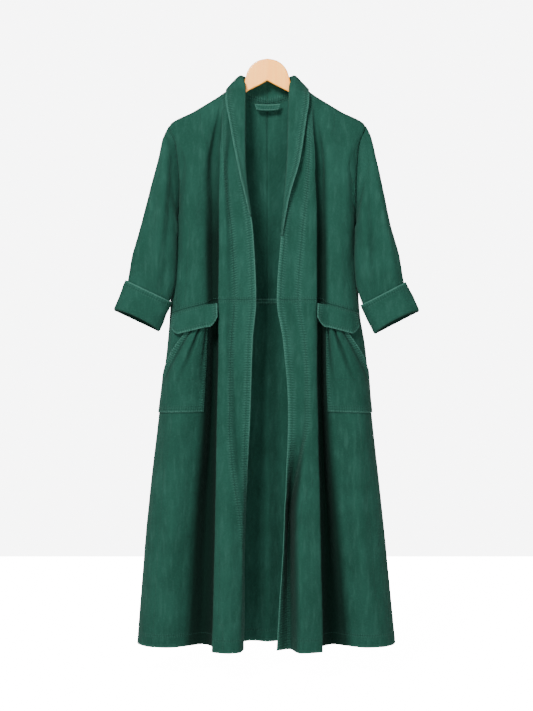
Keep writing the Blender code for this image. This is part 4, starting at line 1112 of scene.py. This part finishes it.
# The pocket flaps: two layers of twill each, caught in the waist seam, with clipped lower corners and
# an edge that stands a little off the pocket.
FLAP_DEPTH = 50.0
FLAP_CLIP = 20.0
FLAP_KICK = 13.0
FLAP_INNER_X = 107.0
FLAP_INNER_Y = -41.0
FLAP_INNER_RISE = 2.0
FLAP_IN_FROM_LIP = 6.0
FLAP_IN_FROM_SIDE = 7.0
FLAP_CLIP_SLOPE = 1.2
FLAP_FLARE = 0.04
FLAP_WAVE = 1.3
FLAP_WAVE_PITCH = 34
FLAP_TURNED_FORWARD = 0.8
for side, half, sign, sections in (("left", left_half, -1, LEFT), ("right", right_half, 1, RIGHT)):
    waist_section = sections[WAIST_KNOT - FIRST_SECTION]
    start_x = waist_section.lip_x + FLAP_IN_FROM_LIP
    end_x = waist_section.side_x - FLAP_IN_FROM_SIDE
    waist_u = np.linspace(half.line("lip"), half.line("seam"), 80)
    waist_points = half.pick(waist_u, WAIST)[0]
    wanted = np.linspace(start_x, end_x, 34)
    places = np.interp(wanted, waist_points[:, 0], waist_u)
    tops, normal = half.pick(places, WAIST)
    inner_end = np.array((FLAP_INNER_X, FLAP_INNER_Y, tops[0, 2] + FLAP_INNER_RISE))
    bridge = np.linspace(1, 0, 10)[:-1, None]
    tops = np.concatenate([blend(tops[0], inner_end, bridge), tops])
    normal = np.concatenate([np.repeat(normal[:1], 9, axis=0), normal])
    total = tops[-1, 0] - tops[0, 0]
    from_start = tops[:, 0] - tops[0, 0]
    from_end = np.minimum(from_start, total - from_start)
    length = FLAP_DEPTH - FLAP_CLIP * np.maximum(0.0, 1 - from_end * FLAP_CLIP_SLOPE / FLAP_CLIP) ** 1.7
    rows = []
    for t in np.linspace(0.03, 1, 22):
        flare = FLAP_FLARE * from_start / total * length * t
        lift = CLOTH + LAID_ON + FLAP_KICK * t ** 0.8
        lift = lift + FLAP_WAVE * t * ripple(from_start, FLAP_WAVE_PITCH, 1.3 + sign)
        shift = np.stack([flare, np.zeros(len(flare)), -length * t], axis=1)
        forward = unit(normal * (0.25, 1, 0.25) - (0, FLAP_TURNED_FORWARD, 0))
        rows.append(tops + forward * np.asarray(lift)[:, None] + shift)
    points = np.array(rows)
    piece = sewn_cloth(
        f"flap_cloth_{side}",
        points,
        sign,
        (("bottom", 6), ("start", 6), ("stop", 6), ("top", 3)),
        ("start", "stop", "bottom"),
    )
    hang(piece, f"flap_{side}")


# The hanging tab and the waist tape: a folded strip of twill stitched inside the back neck, and a
# narrow one that covers the waist seam inside the back.
TAB_HALF_WIDTH = 28.0
TAB_NARROWING = 4.5
TAB_TOP = 96.0
TAB_BOTTOM = 109.0
TAB_SAG = 1.5
TAB_LEVELS = (0.05, 0.21)
TAPE_LEVELS = (WAIST - 0.06, WAIST + 0.04)


def inside_back(levels, reach):
    """Points on the inside of the back, across both halves."""
    rows = []
    for level in np.linspace(*levels, 6):
        line = []
        for half, sign in ((left_half, -1), (right_half, 1)):
            start = half.line("back_point")
            if reach is not None:
                span = np.linspace(half.line("back_neck"), half.line("centre"), 60)
                xs = half.pick(span, level)[0][:, 0]
                start = np.interp(-reach, -xs, span)
            places = np.linspace(start, half.line("centre"), 40)
            points, normal = half.pick(places, level)
            points = (points - normal * (2 * CLOTH + LAID_ON)) * (sign, 1, 1)
            line.append(points)
        rows.append(np.concatenate([line[0], line[1][-2::-1]]))
    return np.array(rows)


neck_rows = inside_back(TAB_LEVELS, 2 * TAB_HALF_WIDTH)
tab_rows = []
for share in np.linspace(0, 1, 6):
    x = np.linspace(-1, 1, 41) * (TAB_HALF_WIDTH - TAB_NARROWING * share)
    y = np.interp(-x, -neck_rows[3, :, 0], neck_rows[3, :, 1])
    drop = blend(TAB_TOP, TAB_BOTTOM, share) - TAB_SAG * (x / TAB_HALF_WIDTH) ** 2
    tab_rows.append(np.stack([-x, y, -drop], axis=1))
for name, node, points, width, length in (
    ("neck_tab_cloth", "neck_tab", np.array(tab_rows), 0.056, 0.013),
    ("waist_tape_cloth", "waist_tape", inside_back(TAPE_LEVELS, None), 0.40, 0.010),
):
    sewn = (("top", 2), ("bottom", 2), ("start", 2), ("stop", 2))
    piece = sewn_cloth(name, points, 1, sewn, ("top", "bottom", "start", "stop"), inside=True)
    hang(piece, node)


# The hanger: one piece of pale beech, sawn to a rounded arch with two sloping arms, its edges rounded
# over and its faces meeting in a faint ridge down the middle.
Wood = namedtuple("Wood", "x top bottom")
ARCH = [
    Wood(0, 0, 47),
    Wood(14, 2.2, 55),
    Wood(26, 7.5, 61),
    Wood(36, 16, 66),
    Wood(43, 27, 70),
    Wood(47.5, 42, 73),
    Wood(51, 54, 75),
]
ARM_THICKNESS = 25.0
ARM_END_X = 198.0
ARM_STATIONS = (NECK_X, 70.0, 100.0, 150.0, 190.0, ARM_END_X)
NECK_CLEAR = 2.0
WOOD_HALF_DEPTH = 5.0
RIDGE_SLOPE = 0.045
RIDGE_REACH = 0.050


def pale_beech():
    material = bpy.data.materials.new("pale_beech")
    material.use_nodes = True
    nodes = material.node_tree.nodes
    link = material.node_tree.links.new
    shader = nodes["Principled BSDF"]
    shader.inputs["Roughness"].default_value = 0.42
    shader.inputs["Coat Weight"].default_value = 0.15
    places = nodes.new("ShaderNodeTexCoord")
    mapping = nodes.new("ShaderNodeMapping")
    mapping.inputs["Scale"].default_value = (60, 60, 3)
    mapping.inputs["Rotation"].default_value = (0, radians(6), 0)
    grain = nodes.new("ShaderNodeTexNoise")
    grain.inputs["Scale"].default_value = 3.0
    grain.inputs["Detail"].default_value = 6
    colours = nodes.new("ShaderNodeValToRGB")
    colours.color_ramp.elements[0].position = 0.35
    colours.color_ramp.elements[0].color = (1.0, 0.36, 0.035, 1)
    colours.color_ramp.elements[1].position = 0.7
    colours.color_ramp.elements[1].color = (1.0, 0.44, 0.055, 1)
    bump = nodes.new("ShaderNodeBump")
    bump.inputs["Distance"].default_value = 0.0002
    link(places.outputs["Object"], mapping.inputs["Vector"])
    link(mapping.outputs[0], grain.inputs["Vector"])
    link(grain.outputs["Fac"], colours.inputs["Fac"])
    link(grain.outputs["Fac"], bump.inputs["Height"])
    link(colours.outputs["Color"], shader.inputs["Base Color"])
    link(bump.outputs[0], shader.inputs["Normal"])
    return material


clear = (CLOTH + SEAM) * hypot(1, SHOULDER_SLOPE)
stations = list(ARCH)
for x in ARM_STATIONS:
    top = shoulder_drop(x) + clear + (NECK_CLEAR if x == NECK_X else 0)
    stations.append(Wood(x, top, top + ARM_THICKNESS))
knots = [s.x for s in stations]
fine_x = np.concatenate([np.linspace(0, 62, 40), np.linspace(66, ARM_END_X, 24)])
tops = flow(knots, [s.top for s in stations], fine_x)
lows = flow(knots, [s.bottom for s in stations], fine_x)
upper = [(x, t) for x, t in zip(fine_x, tops)]
lower = [(x, b) for x, b in zip(fine_x, lows)]
outline = [(-x, d) for x, d in reversed(upper[1:])] + upper + lower[::-1] + [(-x, d) for x, d in lower[1:]]
bm = bmesh.new()
corners = [bm.verts.new((x * MM, -WOOD_HALF_DEPTH * MM, -d * MM)) for x, d in outline]
face = bm.faces.new(corners)
grown = bmesh.ops.extrude_face_region(bm, geom=[face])
moved = [g for g in grown["geom"] if isinstance(g, bmesh.types.BMVert)]
bmesh.ops.translate(bm, verts=moved, vec=(0, 2 * WOOD_HALF_DEPTH * MM, 0))
cut = bm.verts[:] + bm.edges[:] + bm.faces[:]
bmesh.ops.bisect_plane(bm, geom=cut, plane_co=(0, 0, 0), plane_no=(1, 0, 0))
bmesh.ops.recalc_face_normals(bm, faces=bm.faces[:])
rims = [e for e in bm.edges if len({round(v.co.y, 5) for v in e.verts}) == 1]
rims = [e for e in rims if any(abs(v.co.x) > 1e-6 for v in e.verts)]
round_over = {"offset": 3.0 * MM, "offset_type": "OFFSET", "segments": 4, "profile": 0.5}
bmesh.ops.bevel(bm, geom=rims, affect="EDGES", material=-1, **round_over)
for vertex in bm.verts:
    if vertex.co.y < 0:
        vertex.co.y += RIDGE_SLOPE * min(abs(vertex.co.x), RIDGE_REACH)
for f in bm.faces:
    f.smooth = True
mesh = bpy.data.meshes.new("hanger_wood")
bm.to_mesh(mesh)
bm.free()
mesh.set_sharp_from_angle(angle=radians(4))
mesh.materials.append(pale_beech())
wood = bpy.data.objects.new("hanger_wood", mesh)
bpy.context.scene.collection.objects.link(wood)
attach(wood, "root")
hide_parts("hanger")


# The studio: a plain pale floor a little below the hem, a wide soft light from the upper left, a
# weaker one from the right, one from behind for the hidden side, and an even pale surround.
FLOOR_Z = -1.335
FLOOR_BACK = 1.95
bm = bmesh.new()
bmesh.ops.create_grid(bm, x_segments=1, y_segments=1, size=0.5)
for vertex in bm.verts:
    vertex.co = (vertex.co.x * 14, vertex.co.y * 8 + FLOOR_BACK - 4, FLOOR_Z)
mesh = bpy.data.meshes.new("floor")
bm.to_mesh(mesh)
bm.free()
floor = bpy.data.objects.new("floor", mesh)
bpy.context.scene.collection.objects.link(floor)
AMBIENT = 0.40
SEEN_WALL = 7.5
SEEN_FLOOR = 15.0


def seen_strength(tree, lighting, seen):
    """Strength of a surface that the camera sees brighter than the light it gives the cloth."""
    path = tree.nodes.new("ShaderNodeLightPath")
    strength = tree.nodes.new("ShaderNodeMath")
    strength.operation = "MULTIPLY_ADD"
    strength.inputs[1].default_value = seen - lighting
    strength.inputs[2].default_value = lighting
    tree.links.new(path.outputs["Is Camera Ray"], strength.inputs[0])
    return strength.outputs[0]


paper = bpy.data.materials.new("pale_floor")
paper.use_nodes = True
shader = paper.node_tree.nodes["Principled BSDF"]
shader.inputs["Base Color"].default_value = (0.88, 0.88, 0.88, 1)
shader.inputs["Roughness"].default_value = 0.8
shader.inputs["Emission Color"].default_value = (1, 1, 1, 1)
brightness = seen_strength(paper.node_tree, 0.0, SEEN_FLOOR)
paper.node_tree.links.new(brightness, shader.inputs["Emission Strength"])
mesh.materials.append(paper)

world = bpy.data.worlds.new("studio")
world.use_nodes = True
surround = world.node_tree.nodes["Background"]
surround.inputs["Color"].default_value = (0.985, 0.99, 1.0, 1)
brightness = seen_strength(world.node_tree, AMBIENT, SEEN_WALL)
world.node_tree.links.new(brightness, surround.inputs["Strength"])
bpy.context.scene.world = world


def softbox(name, place, aim, size, watts):
    light = bpy.data.lights.new(name, "AREA")
    light.size = size
    light.energy = watts
    lamp = bpy.data.objects.new(name, light)
    lamp.location = place
    lamp.rotation_euler = (Vector(aim) - Vector(place)).to_track_quat("-Z", "Y").to_euler()
    bpy.context.scene.collection.objects.link(lamp)


softbox("key", (-1.2, -3.1, 1.5), (0, 0, -0.6), 1.0, 340)
softbox("fill", (0.7, -3.4, -0.9), (0, 0, -0.8), 1.6, 75)
softbox("behind", (0.9, 3.2, 1.0), (0, 0, -0.6), 1.8, 150)

CAMERA_PLACE = (-0.002, -3.205, -0.639)
view = bpy.data.cameras.new("camera")
view.lens = 75.36
view.sensor_width = 36
camera = bpy.data.objects.new("camera", view)
camera.location = CAMERA_PLACE
camera.rotation_euler = (pi / 2, 0, 0)
bpy.context.scene.collection.objects.link(camera)
bpy.context.scene.camera = camera
